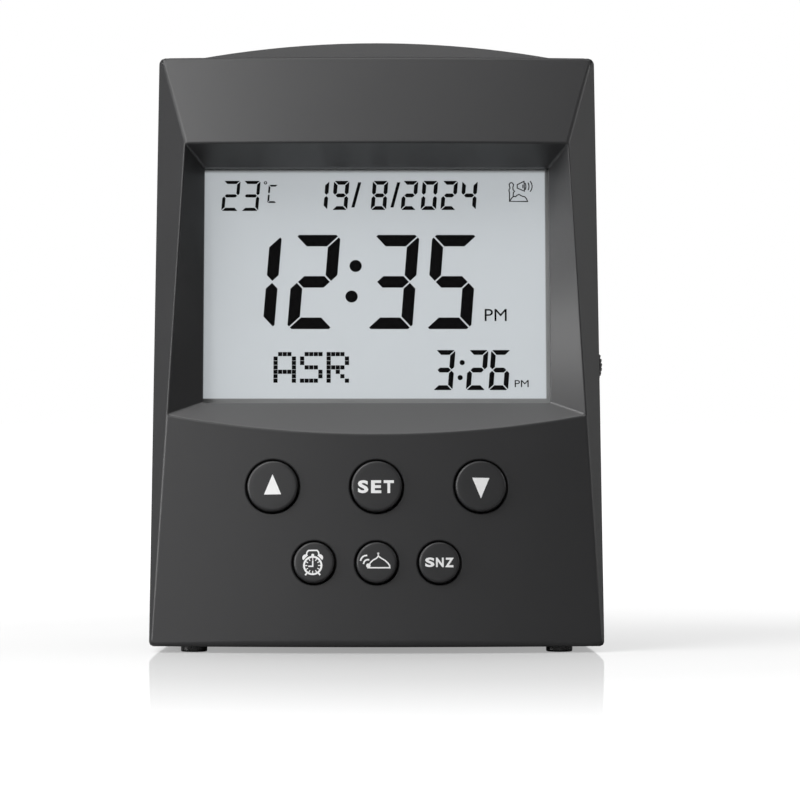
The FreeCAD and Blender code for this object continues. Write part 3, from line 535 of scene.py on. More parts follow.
beside = {}
for face, name in zip(sheet_faces, sheet_names):
    for i, j in zip(face, face[1:] + face[:1]):
        beside.setdefault((min(i, j), max(i, j)), []).append(name)
ends = np.empty(2 * len(shell.data.edges), np.int32)
shell.data.edges.foreach_get("vertices", ends)
ends = np.sort(ends.reshape(-1, 2), -1)
faces_at = [beside.get(tuple(pair), ()) for pair in ends.tolist()]
middle = shell_points[ends].mean(1)
ahead = middle @ ahead_axis + seam_foot * seam_cos
from_level = np.minimum(middle[:, 2] - foot, shoulder - middle[:, 2])
seam_widths = seam_crease * (np.hypot(case_width / 2 - np.abs(middle[:, 0]), from_level) > plain_corner)
widths = [edge_width(*edge) for edge in zip(faces_at, ahead, seam_widths)]
weights = np.array(widths, np.float32) / widest_crease
shell.data.attributes.new("bevel_weight_edge", "FLOAT", "EDGE").data.foreach_set("value", weights)
# Face marks for the painted light on the ledge and the painted shade at the lip's head
for mark, face_name in (("lit_ledge", "recess_foot"), ("shaded_lip", "lip_head")):
    marked = np.zeros(len(shell.data.polygons), np.float32)
    marked[: len(sheet_names)] = [name == face_name for name in sheet_names]
    shell.data.attributes.new(mark, "FLOAT", "FACE").data.foreach_set("value", marked)


def rounded(piece, width, limit="WEIGHT", segments=3):
    """Rounds a piece's creases by a live bevel that keeps the faces beside them flat."""
    bevel = piece.modifiers.new("rounded creases", "BEVEL")
    bevel.width = width * MM
    bevel.segments = segments
    bevel.limit_method = limit
    bevel.angle_limit = math.radians(flat_angle)
    bevel.use_clamp_overlap = False
    bevel.harden_normals = True
    bevel.miter_outer = "MITER_SHARP"


rounded(shell, widest_crease)
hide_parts("front_shell")
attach(shell, "case")


class Value:
    """One number or colour of a finish, on which arithmetic adds Math nodes."""

    def __init__(self, finish, socket):
        self.finish, self.socket = finish, socket

    def maths(self, operation, *others):
        """This value, followed by others, through a Math node."""
        return self.finish.node("ShaderNodeMath", {"operation": operation}, dict(enumerate((self, *others))))

    def __add__(self, other):
        return self.maths("ADD", other)

    def __sub__(self, other):
        return self.maths("SUBTRACT", other)

    def __rsub__(self, other):
        return self.finish.node("ShaderNodeMath", {"operation": "SUBTRACT"}, {0: other, 1: self})

    def __mul__(self, other):
        return self.maths("MULTIPLY", other)

    def __truediv__(self, other):
        return self.maths("DIVIDE", other)

    def __gt__(self, other):
        return self.maths("GREATER_THAN", other)

    def __lt__(self, other):
        return self.maths("LESS_THAN", other)

    __radd__, __rmul__ = __add__, __mul__


class Finish:
    """A procedural finish: the standard surface shader and the nodes that vary it."""

    def __init__(self, name, sockets):
        self.material = bpy.data.materials.new(name)
        self.material.use_nodes = True
        self.tree = self.material.node_tree
        self.surface = self.tree.nodes["Principled BSDF"]
        self.feed(self.surface, sockets)

    def feed(self, node, sockets):
        """Sets or links the sockets of a node."""
        for key, value in sockets.items():
            if isinstance(value, Value):
                self.tree.links.new(value.socket, node.inputs[key])
            elif node.inputs[key].type == "RGBA":
                node.inputs[key].default_value = (*value, 1)
            else:
                node.inputs[key].default_value = value

    def node(self, kind, settings, sockets, output=0):
        """Adds a node, with its settings first and then its sockets, and gives one of its outputs."""
        node = self.tree.nodes.new(kind)
        for name, setting in settings.items():
            setattr(node, name, setting)
        self.feed(node, sockets)
        return Value(self, node.outputs[output])

    def place(self):
        """Where a point lies, in the piece's own coordinates."""
        return self.node("ShaderNodeTexCoord", {}, {}, "Object")

    def axis(self, name):
        """One coordinate of that place."""
        return self.node("ShaderNodeSeparateXYZ", {}, {"Vector": self.place()}, name)

    def vectors(self, operation, *vectors, output="Value"):
        """Vectors through a Vector Math node."""
        return self.node("ShaderNodeVectorMath", {"operation": operation}, dict(enumerate(vectors)), output)

    def along(self, direction, start):
        """Distance of that place from a start, measured along a direction."""
        moved = self.vectors("SUBTRACT", self.place(), start, output="Vector")
        return self.vectors("DOT_PRODUCT", moved, direction)

    def noise(self, size, detail=2.0):
        """Cloudy noise whose blots are about a size in millimetres."""
        sockets = {"Vector": self.place(), "Scale": 1 / (size * MM), "Detail": detail}
        return self.node("ShaderNodeTexNoise", {}, sockets)

    def blend(self, share, first, second):
        """A colour between two."""
        return self.node("ShaderNodeMix", {"data_type": "RGBA"}, {0: share, 6: first, 7: second}, 2)

    def relief(self, height, depth):
        """Raises or sinks the surface by a height in units of a depth in millimetres."""
        self.vary({"Normal": self.node("ShaderNodeBump", {}, {"Height": height, "Distance": depth * MM})})

    def vary(self, sockets):
        """Feeds the surface shader what varies over the piece."""
        self.feed(self.surface, sockets)

    def tint(self, share, first, second):
        """Varies the colour between two by a share."""
        self.vary({"Base Color": self.blend(share, first, second)})

    def mottle(self, size, deep, pale, detail=2.0):
        """Varies the colour between two tones in blots about a size in millimetres, and gives the blots."""
        blots = self.noise(size, detail)
        self.tint(blots, deep, pale)
        return blots

    def on(self, *names):
        """Gives the finish to pieces or to nodes of the CAD model."""
        for name in names:
            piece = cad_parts[name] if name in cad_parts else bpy.data.objects[name]
            if not piece.material_slots:
                piece.data.materials.append(None)
            for slot in piece.material_slots:
                slot.material = self.material


cloud_size, cloud_change = 14.0, 0.06
grain_size, grain_depth = 0.22, 0.012


def moulded(name, colour, roughness):
    """Moulded plastic: an even colour with faint flow clouds, and a fine spark-eroded grain."""
    finish = Finish(name, {"Specular IOR Level": 0.40})
    colour = np.array(colour)
    clouds = finish.mottle(cloud_size, colour * (1 - cloud_change), colour * (1 + cloud_change))
    grain = finish.noise(grain_size, 3.0)
    finish.vary({"Roughness": roughness - 0.04 + clouds * 0.05 + grain * 0.03})
    finish.relief(grain, grain_depth)
    return finish


# Painted light: the ledge under the display is coloured paler than the rest, as if lit from above.
# Painted shade: the downward-facing head of the lip is coloured black, as if in deep shadow.
case_grey, case_roughness = (0.027, 0.027, 0.028), 0.40
ledge_painted_light, lip_painted_shade = (0.085, 0.085, 0.086), (0.002, 0.002, 0.002)
front_finish = moulded("charcoal_abs_front", case_grey, case_roughness)
skin = Value(front_finish, front_finish.surface.inputs["Base Color"].links[0].from_socket)
for mark, tone in (("lit_ledge", ledge_painted_light), ("shaded_lip", lip_painted_shade)):
    share_of = front_finish.node("ShaderNodeAttribute", {"attribute_name": mark}, {}, "Fac")
    skin = front_finish.blend(share_of, skin, tone)
front_finish.vary({"Base Color": skin})
front_finish.on("front_shell_moulding")

# ---------------------------------------------------------------- Display window
# A thin clear acrylic sheet, cut to size and bonded behind the opening's lip. It keeps dust off the display
# glass, and only its faint reflection shows.

straight_glint, grazing_glint = 0.012, 0.6

window_finish = Finish("clear_acrylic", {"Base Color": (1, 1, 1), "Metallic": 1.0, "Roughness": 0.06})
clear = window_finish.node("ShaderNodeBsdfTransparent", {}, {})
facing = window_finish.node("ShaderNodeLayerWeight", {}, {"Blend": 0.5}, "Facing")
glint = facing.maths("POWER", 5.0) * grazing_glint + straight_glint
mirror = Value(window_finish, window_finish.surface.outputs[0])
sheet = window_finish.node("ShaderNodeMixShader", {}, {0: glint, 1: clear, 2: mirror})
window_finish.feed(window_finish.tree.nodes["Material Output"], {"Surface": sheet})
window_finish.on("display_window")

# ---------------------------------------------------------------- Display glass
# Two sheets of glass with liquid crystal between them and a grey polarizer on the front. Uncovered glass
# round the polarizer looks darker. A moulded frame holds it, a light guide lies behind it, and striped
# rubber connectors join its ledges to the board.

polarizer_x = (-33.3, 32.55)
polarizer_u = (49.16, 94.34)
# The longer fade at the polarizer's head is painted shade under the lip.
polarizer_fade, head_shade_fade = 0.2, 0.7
polarizer_grey, film_change = np.array([0.26, 0.275, 0.285]), 0.015
# The glow is partly a lit backlight and partly painted light that fills in the hood's shade on the display.
bare_glass, backlight_and_fill_glow = (0.24, 0.245, 0.245), (0.350, 0.372, 0.388)

glass_finish = Finish("display_glass", {"Specular IOR Level": 0.3, "Emission Strength": 1.0})
across = glass_finish.axis("X") / MM
up = glass_finish.along((0, seam_sin, seam_cos), (0, seam_foot * MM, 0)) / MM


def covered(value, low, high, high_fade=polarizer_fade):
    """One between two limits and nothing outside them, with a short fade at each."""
    inside = [(value - low) * (1 / polarizer_fade), (high - value) * (1 / high_fade)]
    steps = [side.finish.node("ShaderNodeClamp", {}, {"Value": side}) for side in inside]
    return steps[0] * steps[1]


# The head's longer fade darkens the display's top edge as painted shade.
cover = covered(across, *polarizer_x) * covered(up, *polarizer_u, head_shade_fade)
film = glass_finish.noise(9.0, 1.0)
tone = glass_finish.blend(film, polarizer_grey * (1 - film_change), polarizer_grey * (1 + film_change))
glass_finish.tint(cover, bare_glass, tone)
glass_finish.vary({"Roughness": 0.3 + film * 0.05})
# Painted light: the polarizer glows, partly as a backlight and partly to even out the hood's shade.
glass_finish.vary({"Emission Color": glass_finish.blend(cover, (0, 0, 0), backlight_and_fill_glow)})
glass_finish.on("lcd_panel")

frame_finish = moulded("black_frame_plastic", (0.012, 0.012, 0.012), 0.5)
frame_finish.on("lcd_frame")

guide_finish = Finish("milky_acrylic", {"Roughness": 0.25})
guide_finish.mottle(6.0, (0.74, 0.78, 0.76), (0.80, 0.83, 0.80))
guide_finish.on("light_guide")

zebra_pitch = 0.18
zebra_finish = Finish("striped_rubber", {"Roughness": 0.6})
stripe = zebra_finish.axis("X").maths("PINGPONG", zebra_pitch * MM) > zebra_pitch / 2 * MM
zebra_finish.tint(stripe, (0.60, 0.32, 0.30), (0.02, 0.02, 0.02))
zebra_finish.on("zebra_strips")

# ---------------------------------------------------------------- Digits and signs of the display
# The driven parts of the liquid crystal, which turn black: seven-bar digits for temperature, date and both
# times, dots that spell the prayer, and small fixed signs. Each is a very thin plate ahead of the polarizer.

ink_back, ink_front = glass_front + 0.01, glass_front + 0.04
lit_bars = {
    "0": "abcdef",
    "1": "bc",
    "2": "abged",
    "3": "abgcd",
    "4": "fgbc",
    "5": "afgcd",
    "6": "afgedc",
    "8": "abcdefg",
    "9": "abcdfg",
    "C": "adef",
}
bar_slant, corner_share = math.tan(math.radians(4.4)), 0.36


def drawn(*outlines):
    """A flat drawing from outlines, each one face."""
    faces = np.split(np.arange(sum(map(len, outlines))), np.cumsum([len(line) for line in outlines])[:-1])
    return np.concatenate([np.asarray(line, float) for line in outlines]), [face.tolist() for face in faces]


no_area = 1e-6


def slab(drawing, lift, low, high):
    """A closed plate from a flat drawing: its faces at the high level, the same turned over at the low one,
    and a wall along each edge that only one face has. Lift puts x, y and a level into the clock's frame."""
    flat, faces = drawing
    x, y = flat.T
    area = [x[face] @ np.roll(y[face], -1) - y[face] @ np.roll(x[face], -1) for face in faces]
    faces = [face[::-1] if size < -no_area else face for face, size in zip(faces, area)]
    n = len(flat)
    edges = {(i, j) for face in faces for i, j in zip(face, face[1:] + face[:1])}
    walls = [[j, i, i + n, j + n] for i, j in sorted(edges) if (j, i) not in edges]
    under = [[i + n for i in reversed(face)] for face in faces]
    return np.concatenate([lift(*flat.T, high), lift(*flat.T, low)]), faces + under + walls


def digit(sign, left, low, width, height, thick, gap):
    """The lit bars of one sign, mitred at the outer corners, pointed at the middle and sheared to a slant."""
    middle, chamfer = height / 2, thick * corner_share
    near, far = (chamfer + gap) / 2, (chamfer - gap) / 2
    half = thick / 2 + gap
    a = [(chamfer, height), (near, height - far), (thick + gap, height - thick)]
    a = np.array(a + [(width - x, y) for x, y in a[::-1]])
    f = [(0, height - chamfer), (0, middle + half), (thick / 2, middle + gap), (thick, middle + half)]
    f = np.array(f + [(thick, height - thick - gap), (far, height - near)])
    g = [(half, middle), (thick + gap, middle - thick / 2), (width - thick - gap, middle - thick / 2)]
    g = np.array(g + [(width - x, height - y) for x, y in g])
    bars = {"a": a, "f": f, "g": g}
    bars["d"] = a * (1, -1) + (0, height)
    bars["b"] = f * (-1, 1) + (width, 0)
    bars["e"] = f * (1, -1) + (0, height)
    bars["c"] = f * (-1, -1) + (width, height)
    lean_over = np.array([[1, 0], [bar_slant, 1]])
    return [(bars[bar] - (0, middle)) @ lean_over + (left, low + middle) for bar in lit_bars[sign]]


def disc(x, y, radius, sides=28):
    """The outline of a disc."""
    angle = np.linspace(0, 2 * math.pi, sides, endpoint=False)
    return np.stack([x + radius * np.cos(angle), y + radius * np.sin(angle)], -1)


def arc(x, y, radius, start, end, count=12):
    """Points round part of a circle, from and to angles in degrees."""
    angle = np.radians(np.linspace(start, end, count))
    return np.stack([x + radius * np.cos(angle), y + radius * np.sin(angle)], -1)


sharpest_mitre = 0.6


def stroke(points, width, closed=False):
    """A ribbon along a line: each point moves half the width to either side along its mitre."""
    line = np.asarray(points, float)
    after = np.roll(line, -1, 0) - line
    before = line - np.roll(line, 1, 0)
    if not closed:
        after[-1], before[0] = before[-1], after[0]
    after, before = (side / np.linalg.norm(side, axis=-1, keepdims=True) for side in (after, before))
    mitre = after + before
    mitre = mitre / np.maximum((mitre * after).sum(-1, keepdims=True), sharpest_mitre)
    aside = np.stack([-mitre[:, 1], mitre[:, 0]], -1) * width / 2
    n = len(line)
    start = np.arange(n if closed else n - 1)
    faces = np.stack([start + n, (start + 1) % n + n, (start + 1) % n, start], -1)
    return np.concatenate([line + aside, line - aside]), faces.tolist()


def lettering(text, x, y, heavier=0.0):
    """Filled letters, made heavier by an offset, fitted between two limits each way."""
    curve = bpy.data.curves.new(text, "FONT")
    curve.body = text
    curve.offset = heavier
    curve.resolution_u = 4
    maker = bpy.data.objects.new(text, curve)
    bpy.context.scene.collection.objects.link(maker)
    mesh = bpy.data.meshes.new_from_object(maker.evaluated_get(bpy.context.evaluated_depsgraph_get()))
    flat = np.empty(3 * len(mesh.vertices), np.float32)
    mesh.vertices.foreach_get("co", flat)
    flat = flat.reshape(-1, 3)[:, :2].astype(float)
    faces = [list(face.vertices) for face in mesh.polygons]
    bpy.data.objects.remove(maker)
    low, high = flat.min(0), flat.max(0)
    corner, opposite = np.array([x[0], y[0]]), np.array([x[1], y[1]])
    return corner + (flat - low) / (high - low) * (opposite - corner), faces


bars = []
for signs, lefts, low, width, height, thick, gap in (
    ("23", (-29.75, -25.89), 86.21, 3.25, 5.97, 0.62, 0.13),
    ("C", (-20.98,), 87.8, 1.8, 3.59, 0.35, 0.1),
    ("1982024", (-12.32, -8.45, -0.95, 4.84, 8.67, 12.5, 16.33), 86.41, 2.98, 5.77, 0.75, 0.13),
    ("1235", (-27.76, -16.47, -1.27, 10.01), 62.88, 8.8, 18.57, 2.26, 0.2),
    ("326", (11.03, 17.35, 21.66), 50.92, 3.77, 7.83, 0.93, 0.14),
):
    for sign, left in zip(signs, lefts):
        bars += digit(sign, left, low, width, height, thick, gap)
bars += [disc(-4.06, 75.31, 1.18), disc(-4.83, 69.28, 1.18), disc(16.37, 56.30, 0.5), disc(15.97, 53.36, 0.5)]
slash = np.array([(0, 86.9), (0.62, 86.9), (1.93, 91.9), (1.31, 91.9)])
bars += [slash + (left, 0) for left in (-4.9, 2.63)]

dot_pitch, dot_height, dot_side, dot_top = 0.878, 0.867, 0.8, 58.36
dot_letters = (
    (-19.77, (".###.", "#...#", "#...#", "#...#", "#####", "#...#", "#...#")),
    (-14.69, (".####", "#....", "#....", ".###.", "....#", "....#", "####.")),
    (-9.61, ("####.", "#...#", "#...#", "####.", "#.#..", "#..#.", "#...#")),
)
for left, letter_rows in dot_letters:
    grid = np.array([[mark == "#" for mark in row] for row in letter_rows])
    for row, column in np.argwhere(grid):
        x, u = left + column * dot_pitch, dot_top - row * dot_height
        bars.append([(x, u - dot_side), (x + dot_side, u - dot_side), (x + dot_side, u), (x, u)])

icon_line, wave_radius, wave_u = 0.2, 1.6, 91.1
tower = [(25.63, 88.18), (25.63, 89.96), (25.54, 90.13), (25.54, 90.42), (25.74, 90.76), (25.57, 91.45)]
tower += [(25.74, 91.74), (25.97, 91.85), (26.25, 91.74), (26.42, 91.39), (26.29, 90.88), (26.33, 90.42)]
tower += [(26.59, 90.13), (26.37, 89.79), (26.33, 89.13)]
low_dome = [(25.63, 88.1), (25.8, 88.35), (26.03, 88.75), (26.37, 89.1), (26.82, 89.06), (27.1, 89.33)]
low_dome += [(27.47, 89.52), (27.73, 89.33), (28.12, 89.13), (28.52, 89.06), (28.86, 88.7), (29.12, 88.1)]
icon = [
    stroke(tower, icon_line),
    stroke(low_dome, icon_line, closed=True),
    stroke([(27.13, 90.76), (27.13, 91.43), (28.45, 92.1), (28.52, 90.14)], icon_line, closed=True),
    stroke([(28.22, 90.75), (28.22, 91.45)], icon_line),
]
for x, turn in ((28.8, 26), (29.4, 28), (30.0, 41)):
    icon.append(stroke(arc(x - wave_radius, wave_u, wave_radius, -turn, turn), icon_line))
signs = [drawn(*bars), stroke(disc(-21.47, 91.79, 0.24, 16), 0.17, closed=True), *icon]
signs += [lettering("PM", (20.73, 24.95), (64.45, 66.82)), lettering("PM", (26.41, 29.08), (51.5, 52.87))]
plates = [slab(sign, from_seam, ink_back, ink_front) for sign in signs]
digits = new_piece("display_signs", *gathered(plates))
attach(digits, "case")
ink_finish = Finish("dark_crystal", {"Roughness": 0.6, "Specular IOR Level": 0.0})
ink_finish.mottle(4.0, (0.0015, 0.0015, 0.0018), (0.0025, 0.0025, 0.0028))
ink_finish.on("display_signs")

# ---------------------------------------------------------------- Circuit board and what it carries
# A green glass-fibre board with six tact switches on its front, and chips, capacitors and the volume
# potentiometer on its back. Four short self-tapping screws hold it to the front shell.

track_pitch, track_share = 1.3, 0.62
patch_size, patch_shift = 3.25, 2.0
board_finish = Finish("green_solder_mask", {"Roughness": 0.35, "Coat Weight": 0.3})
squares = {"Vector": board_finish.place(), "Scale": 1 / (patch_size * MM)}
patches = board_finish.node("ShaderNodeTexVoronoi", {"distance": "CHEBYCHEV"}, squares)
shifted = board_finish.axis("X") + patches * (patch_shift * MM)
tracks = shifted.maths("PINGPONG", track_pitch * MM) > track_pitch * track_share * MM
board_finish.tint(tracks, (0.010, 0.085, 0.030), (0.022, 0.150, 0.055))
board_finish.relief(tracks, 0.03)
board_finish.on("main_board")

board_back, can_height = -7.2, 6.7
component_finish = Finish("black_epoxy_and_cans", {})
backwards = tuple(-part for part in ahead_axis)
behind_board = component_finish.along(backwards, tuple(from_seam(0, 0, board_back) * MM)) / MM
can_top = behind_board > can_height
speckle = component_finish.noise(0.4)
body = component_finish.blend(speckle, (0.012, 0.012, 0.013), (0.022, 0.022, 0.024))
component_finish.tint(can_top, body, (0.62, 0.62, 0.63))
component_finish.vary({"Metallic": can_top, "Roughness": 0.55 - can_top * 0.2})
component_finish.on("board_components")

cover_low, cover_high = 3.2, 3.52
switch_finish = Finish("switch_cover_and_button", {})
above_board = switch_finish.along(ahead_axis, tuple(from_seam(0, 0, board_face) * MM)) / MM
cover_plate = (above_board > cover_low) * (above_board < cover_high)
switch_finish.tint(cover_plate, (0.015, 0.015, 0.016), (0.60, 0.60, 0.61))
switch_finish.vary({"Metallic": cover_plate, "Roughness": 0.3 + switch_finish.noise(0.8) * 0.15})
switch_finish.on("tact_switches")


def metal(name, colour, roughness, brush=0.5):
    """Plated or bare metal: one colour, with a roughness that rolling or tumbling has made uneven."""
    finish = Finish(name, {"Metallic": 1.0})
    marks = finish.mottle(brush, [c * 0.9 for c in colour], colour, 4.0)
    finish.vary({"Roughness": roughness - 0.06 + marks * 0.14})
    finish.relief(marks, 0.004)
    return finish


screw_finish = metal("zinc_plated_steel", (0.55, 0.56, 0.58), 0.34)
screw_finish.on("board_screws", "case_screws", "speaker_screws")
pot_finish = metal("pressed_steel_case", (0.50, 0.50, 0.50), 0.38)
pot_finish.on("volume_pot")

# ---------------------------------------------------------------- Push buttons
# Six moulded caps whose faces follow the panel and stand 0.8 mm proud of it. Each has a flange behind
# the panel and a stem on its tact switch. The function signs on them are pad printed in white.

cap_proud, cap_rim, cap_crease, cap_sides = 0.8, 0.5, 0.12, 72
flange_reach, flange_front, flange_back = 0.9, 2.5, 1.3
stem_radius, stem_end = 1.6, -0.05
print_back, print_front = -0.05, 0.03
button_finish = moulded("charcoal_abs_caps", (0.025, 0.025, 0.026), 0.38)
print_finish = Finish("white_pad_print", {"Roughness": 0.5})
print_finish.mottle(1.5, (0.84, 0.84, 0.84), (0.90, 0.90, 0.90))


def button_cap(x, u, radius):
    """A turned form whose face, with its rounded rim, is lifted to follow the panel: rings that shrink to a
    point at both ends. Face rings hold a drop below the panel's own proud surface, the rest a fixed level."""
    turn = np.linspace(0, math.pi / 2, 7)
    flat = np.linspace(0, radius - cap_rim, 6)[:-1]
    face_r = np.concatenate([flat, radius - cap_rim + cap_rim * np.sin(turn)])
    drop = np.concatenate([flat * 0, cap_rim * (1 - np.cos(turn))])
    back_r = [radius, radius + flange_reach, radius + flange_reach, stem_radius, stem_radius, 0]
    back_w = [flange_front, flange_front, flange_back, flange_back, stem_end, stem_end]
    angle = np.linspace(0, 2 * math.pi, cap_sides, endpoint=False)
    ring = np.concatenate([face_r, back_r])[:, None]
    xs, us = x + ring * np.cos(angle), u + ring * np.sin(angle)
    lifted = panel_ahead(xs[: len(face_r)], us[: len(face_r)], cap_proud) - drop[:, None]
    level = np.broadcast_to(np.array(back_w)[:, None], (len(back_w), cap_sides))
    return merged(*ringed(from_seam(xs, us, np.concatenate([lifted, level]))))


print_line = 0.3
clock_x, clock_u, clock_radius = -0.24, -0.64, 1.64
bell_out, bell_u, bell_radius = 1.32, 0.84, 0.64
clock_hands = [(clock_x - 0.84, clock_u - 0.14), (clock_x, clock_u - 0.14), (clock_x, clock_u + 0.95)]
clock_handle = [(-1.42, 1.3), (-1.33, 1.85), (-1.05, 2.2), (0.58, 2.2), (0.86, 1.85), (0.94, 1.3)]
alarm_sign = [
    stroke(disc(clock_x, clock_u, clock_radius, 36), print_line * 1.2, closed=True),
    stroke(clock_hands, print_line * 0.9),
    stroke(clock_handle, print_line * 0.9),
    drawn(disc(clock_x, 1.3, 0.28, 16)),
]
for sign in (-1, 1):
    bell_turn = 90 - sign * 45
    bell = arc(clock_x + sign * bell_out, bell_u, bell_radius, bell_turn - 90, bell_turn + 90, 14)
    foot_line = [(clock_x + sign * 1.05, clock_u - 1.35), (clock_x + sign * 1.4, clock_u - 1.82)]
    alarm_sign += [drawn(bell), stroke(foot_line, print_line)]
tick_shares = np.array([[0.62], [0.95]])
for tick in np.radians(np.arange(0, 360, 30)):
    ends = (clock_x, clock_u) + tick_shares * clock_radius * [np.cos(tick), np.sin(tick)]
    alarm_sign.append(stroke(ends, print_line * 0.6))
dome = [(-1.62, -1.05), (2.47, -1.05), (2.42, -0.62), (2.12, -0.19), (1.53, 0.35), (0.88, 0.72), (0.29, 1.15)]
dome += [(-0.05, 0.72), (-0.64, 0.42), (-1.18, -0.08), (-1.45, -0.62)]
azan_sign = [
    stroke(dome, print_line * 0.85, closed=True),
    stroke([(0.29, 1.1), (0.29, 1.72)], print_line * 0.7),
    drawn(disc(0.29, 1.62, 0.2, 16)),
    drawn(disc(-1.58, -0.66, 0.42, 16)),
    stroke([(-2.49, -0.35), (-2.37, 0.05), (-2.15, 0.33), (-1.82, 0.46), (-1.4, 0.46)], print_line),
    stroke([(-3.05, 0.25), (-2.93, 0.65), (-2.68, 0.97), (-2.3, 1.2), (-1.79, 1.28)], print_line),
]
up_sign = [drawn([(-1.62, -1.64), (1.62, -1.64), (0, 2.2)])]
down_sign = [drawn([(-1.62, 1.5), (0, -2.4), (1.62, 1.5)])]
letter_offset = 0.04
set_places = {"S": (-3.56, -1.58), "E": (-1.07, 0.87), "T": (1.31, 3.24)}
snooze_places = {"S": (-2.69, -0.93), "N": (-0.66, 0.82), "Z": (1.07, 2.71)}
set_sign = [lettering(letter, x, (-1.37, 1.07), letter_offset) for letter, x in set_places.items()]
snooze_sign = [lettering(letter, x, (-0.96, 0.84), letter_offset) for letter, x in snooze_places.items()]

for name, place, pitch, level, radius, sign in (
    ("up", -1, large_pitch, large_level, large_cap, up_sign),
    ("set", 0, large_pitch, large_level, large_cap, set_sign),
    ("down", 1, large_pitch, large_level, large_cap, down_sign),
    ("alarm", -1, small_pitch, small_level, small_cap, alarm_sign),
    ("azan", 0, small_pitch, small_level, small_cap, azan_sign),
    ("snooze", 1, small_pitch, small_level, small_cap, snooze_sign),
):
    cap_x = place * pitch
    cap_u = button_u(cap_x, level)

    def on_face(x, u, proud, cap_x=cap_x, cap_u=cap_u):
        """Puts a drawing centred on the cap on to its face."""
        x, u = cap_x + x, cap_u + u
        return from_seam(x, u, panel_ahead(x, u, cap_proud) + proud)

    cap = new_piece(f"{name}_cap", *button_cap(cap_x, cap_u, radius))
    plates = [slab(part, on_face, print_back, print_front) for part in sign]
    printed = new_piece(f"{name}_sign", *gathered(plates))
    rounded(cap, cap_crease, "ANGLE", 2)
    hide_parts(f"{name}_button")
    for piece in (cap, printed):
        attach(piece, f"{name}_button_body")
    button_finish.on(cap.name)
    print_finish.on(printed.name)

# ---------------------------------------------------------------- Volume wheel
# A black moulded thumb wheel with a toothed rim, pressed on the potentiometer's spindle. A sliver of it
# stands out of the right side of the case.

wheel_radius, wheel_bore, wheel_edge, wheel_crease = 6.25, 1.55, 0.4, 0.07
wheel_front, wheel_back = -9.4, -11.9
wheel_band, web_sink = 1.2, 0.3
tooth_count, tooth_depth = 44, 0.28
tooth_form = np.array([0, 0, 0, 0.7, 1, 0.7])
wheel_low, wheel_high = (np.array(corner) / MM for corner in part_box("volume_wheel"))
wheel_x = wheel_high[0] - wheel_radius
wheel_u = up_seam((wheel_low[1] + wheel_high[1]) / 2, (wheel_low[2] + wheel_high[2]) / 2)

turn = np.arange(tooth_count * len(tooth_form))
angle = turn * 2 * math.pi / len(turn)
notch = tooth_form[turn % len(tooth_form)] * tooth_depth

# Radius, level and share of the teeth's depth of each ring
profile = np.array(
    [
        (wheel_bore, wheel_back, 0),
        (wheel_bore, wheel_front, 0),
        (wheel_bore + wheel_band, wheel_front, 0),
        (wheel_bore + wheel_band + web_sink, wheel_front - web_sink, 0),
        (wheel_radius - wheel_band - web_sink, wheel_front - web_sink, 0),
        (wheel_radius - wheel_band, wheel_front, 0),
        (wheel_radius - wheel_edge, wheel_front, 0.35),
        (wheel_radius, wheel_front - wheel_edge, 1),
        (wheel_radius, wheel_back + wheel_edge, 1),
        (wheel_radius - wheel_edge, wheel_back, 0.35),
    ]
)
radius, level, tooth_share = profile.T[..., None]
ring = radius - notch * tooth_share
points = from_seam(wheel_x + ring * np.cos(angle), wheel_u + ring * np.sin(angle), level)
wheel = new_piece("toothed_wheel", *ringed(points, closed=True))
rounded(wheel, wheel_crease, "ANGLE", 2)
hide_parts("volume_wheel")
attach(wheel, "volume_wheel_body")
wheel_finish = moulded("black_abs", (0.012, 0.012, 0.012), 0.36)
wheel_finish.on("toothed_wheel")

# ---------------------------------------------------------------- Rear shell
# The other half of the case: its sides draw in towards a sloping back, and its head rises in a low arch
# above the front. It carries the speaker's grille and seat, the battery bay and four deep screw posts.

case_finish = moulded("charcoal_abs", case_grey, case_roughness)
case_finish.on("rear_shell")

# ---------------------------------------------------------------- Speaker
# A 40 mm speaker with a ribbed black paper cone, a pressed steel basket and a ferrite magnet. Three broad
# screw heads clamp its rim to the seat behind the grille.

speaker_tilt = math.radians(4.0)
speaker_axis = Vector((0, math.cos(speaker_tilt), math.sin(speaker_tilt)))
speaker_middle = sum((Vector(corner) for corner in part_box("speaker_cone")), Vector()) / 2
rib_pitch = 1.4
cone_finish = Finish("black_paper", {"Roughness": 0.85})
offset = cone_finish.vectors("SUBTRACT", cone_finish.place(), speaker_middle, output="Vector")
swept = cone_finish.vectors("CROSS_PRODUCT", offset, speaker_axis, output="Vector")
from_axis = cone_finish.vectors("LENGTH", swept) / MM
ribs = (from_axis * (2 * math.pi / rib_pitch)).maths("SINE")
fibre = cone_finish.mottle(0.5, (0.014, 0.014, 0.014), (0.03, 0.03, 0.03), 4.0)
cone_finish.relief(ribs * 0.8 + fibre * 0.5, 0.15)
cone_finish.on("speaker_cone")
basket_finish = metal("galvanised_steel", (0.48, 0.49, 0.50), 0.4, 2.5)
basket_finish.on("speaker_frame")
magnet_finish = Finish("ferrite", {"Specular IOR Level": 0.5})
ferrite = magnet_finish.mottle(0.7, (0.035, 0.035, 0.038), (0.07, 0.07, 0.074), 4.0)
magnet_finish.vary({"Roughness": 0.5 + ferrite * 0.2})
magnet_finish.relief(ferrite, 0.02)
magnet_finish.on("speaker_magnet")

# ---------------------------------------------------------------- Battery bay
# Two AA cells lie head to tail between nickel-plated plates and bowed leaf springs. The flush door over
# them hooks in with two lugs and has finger ridges across its head.

contact_finish = metal("nickel_plate", (0.66, 0.63, 0.57), 0.26)
contact_finish.on("contact_plates", "contact_springs")

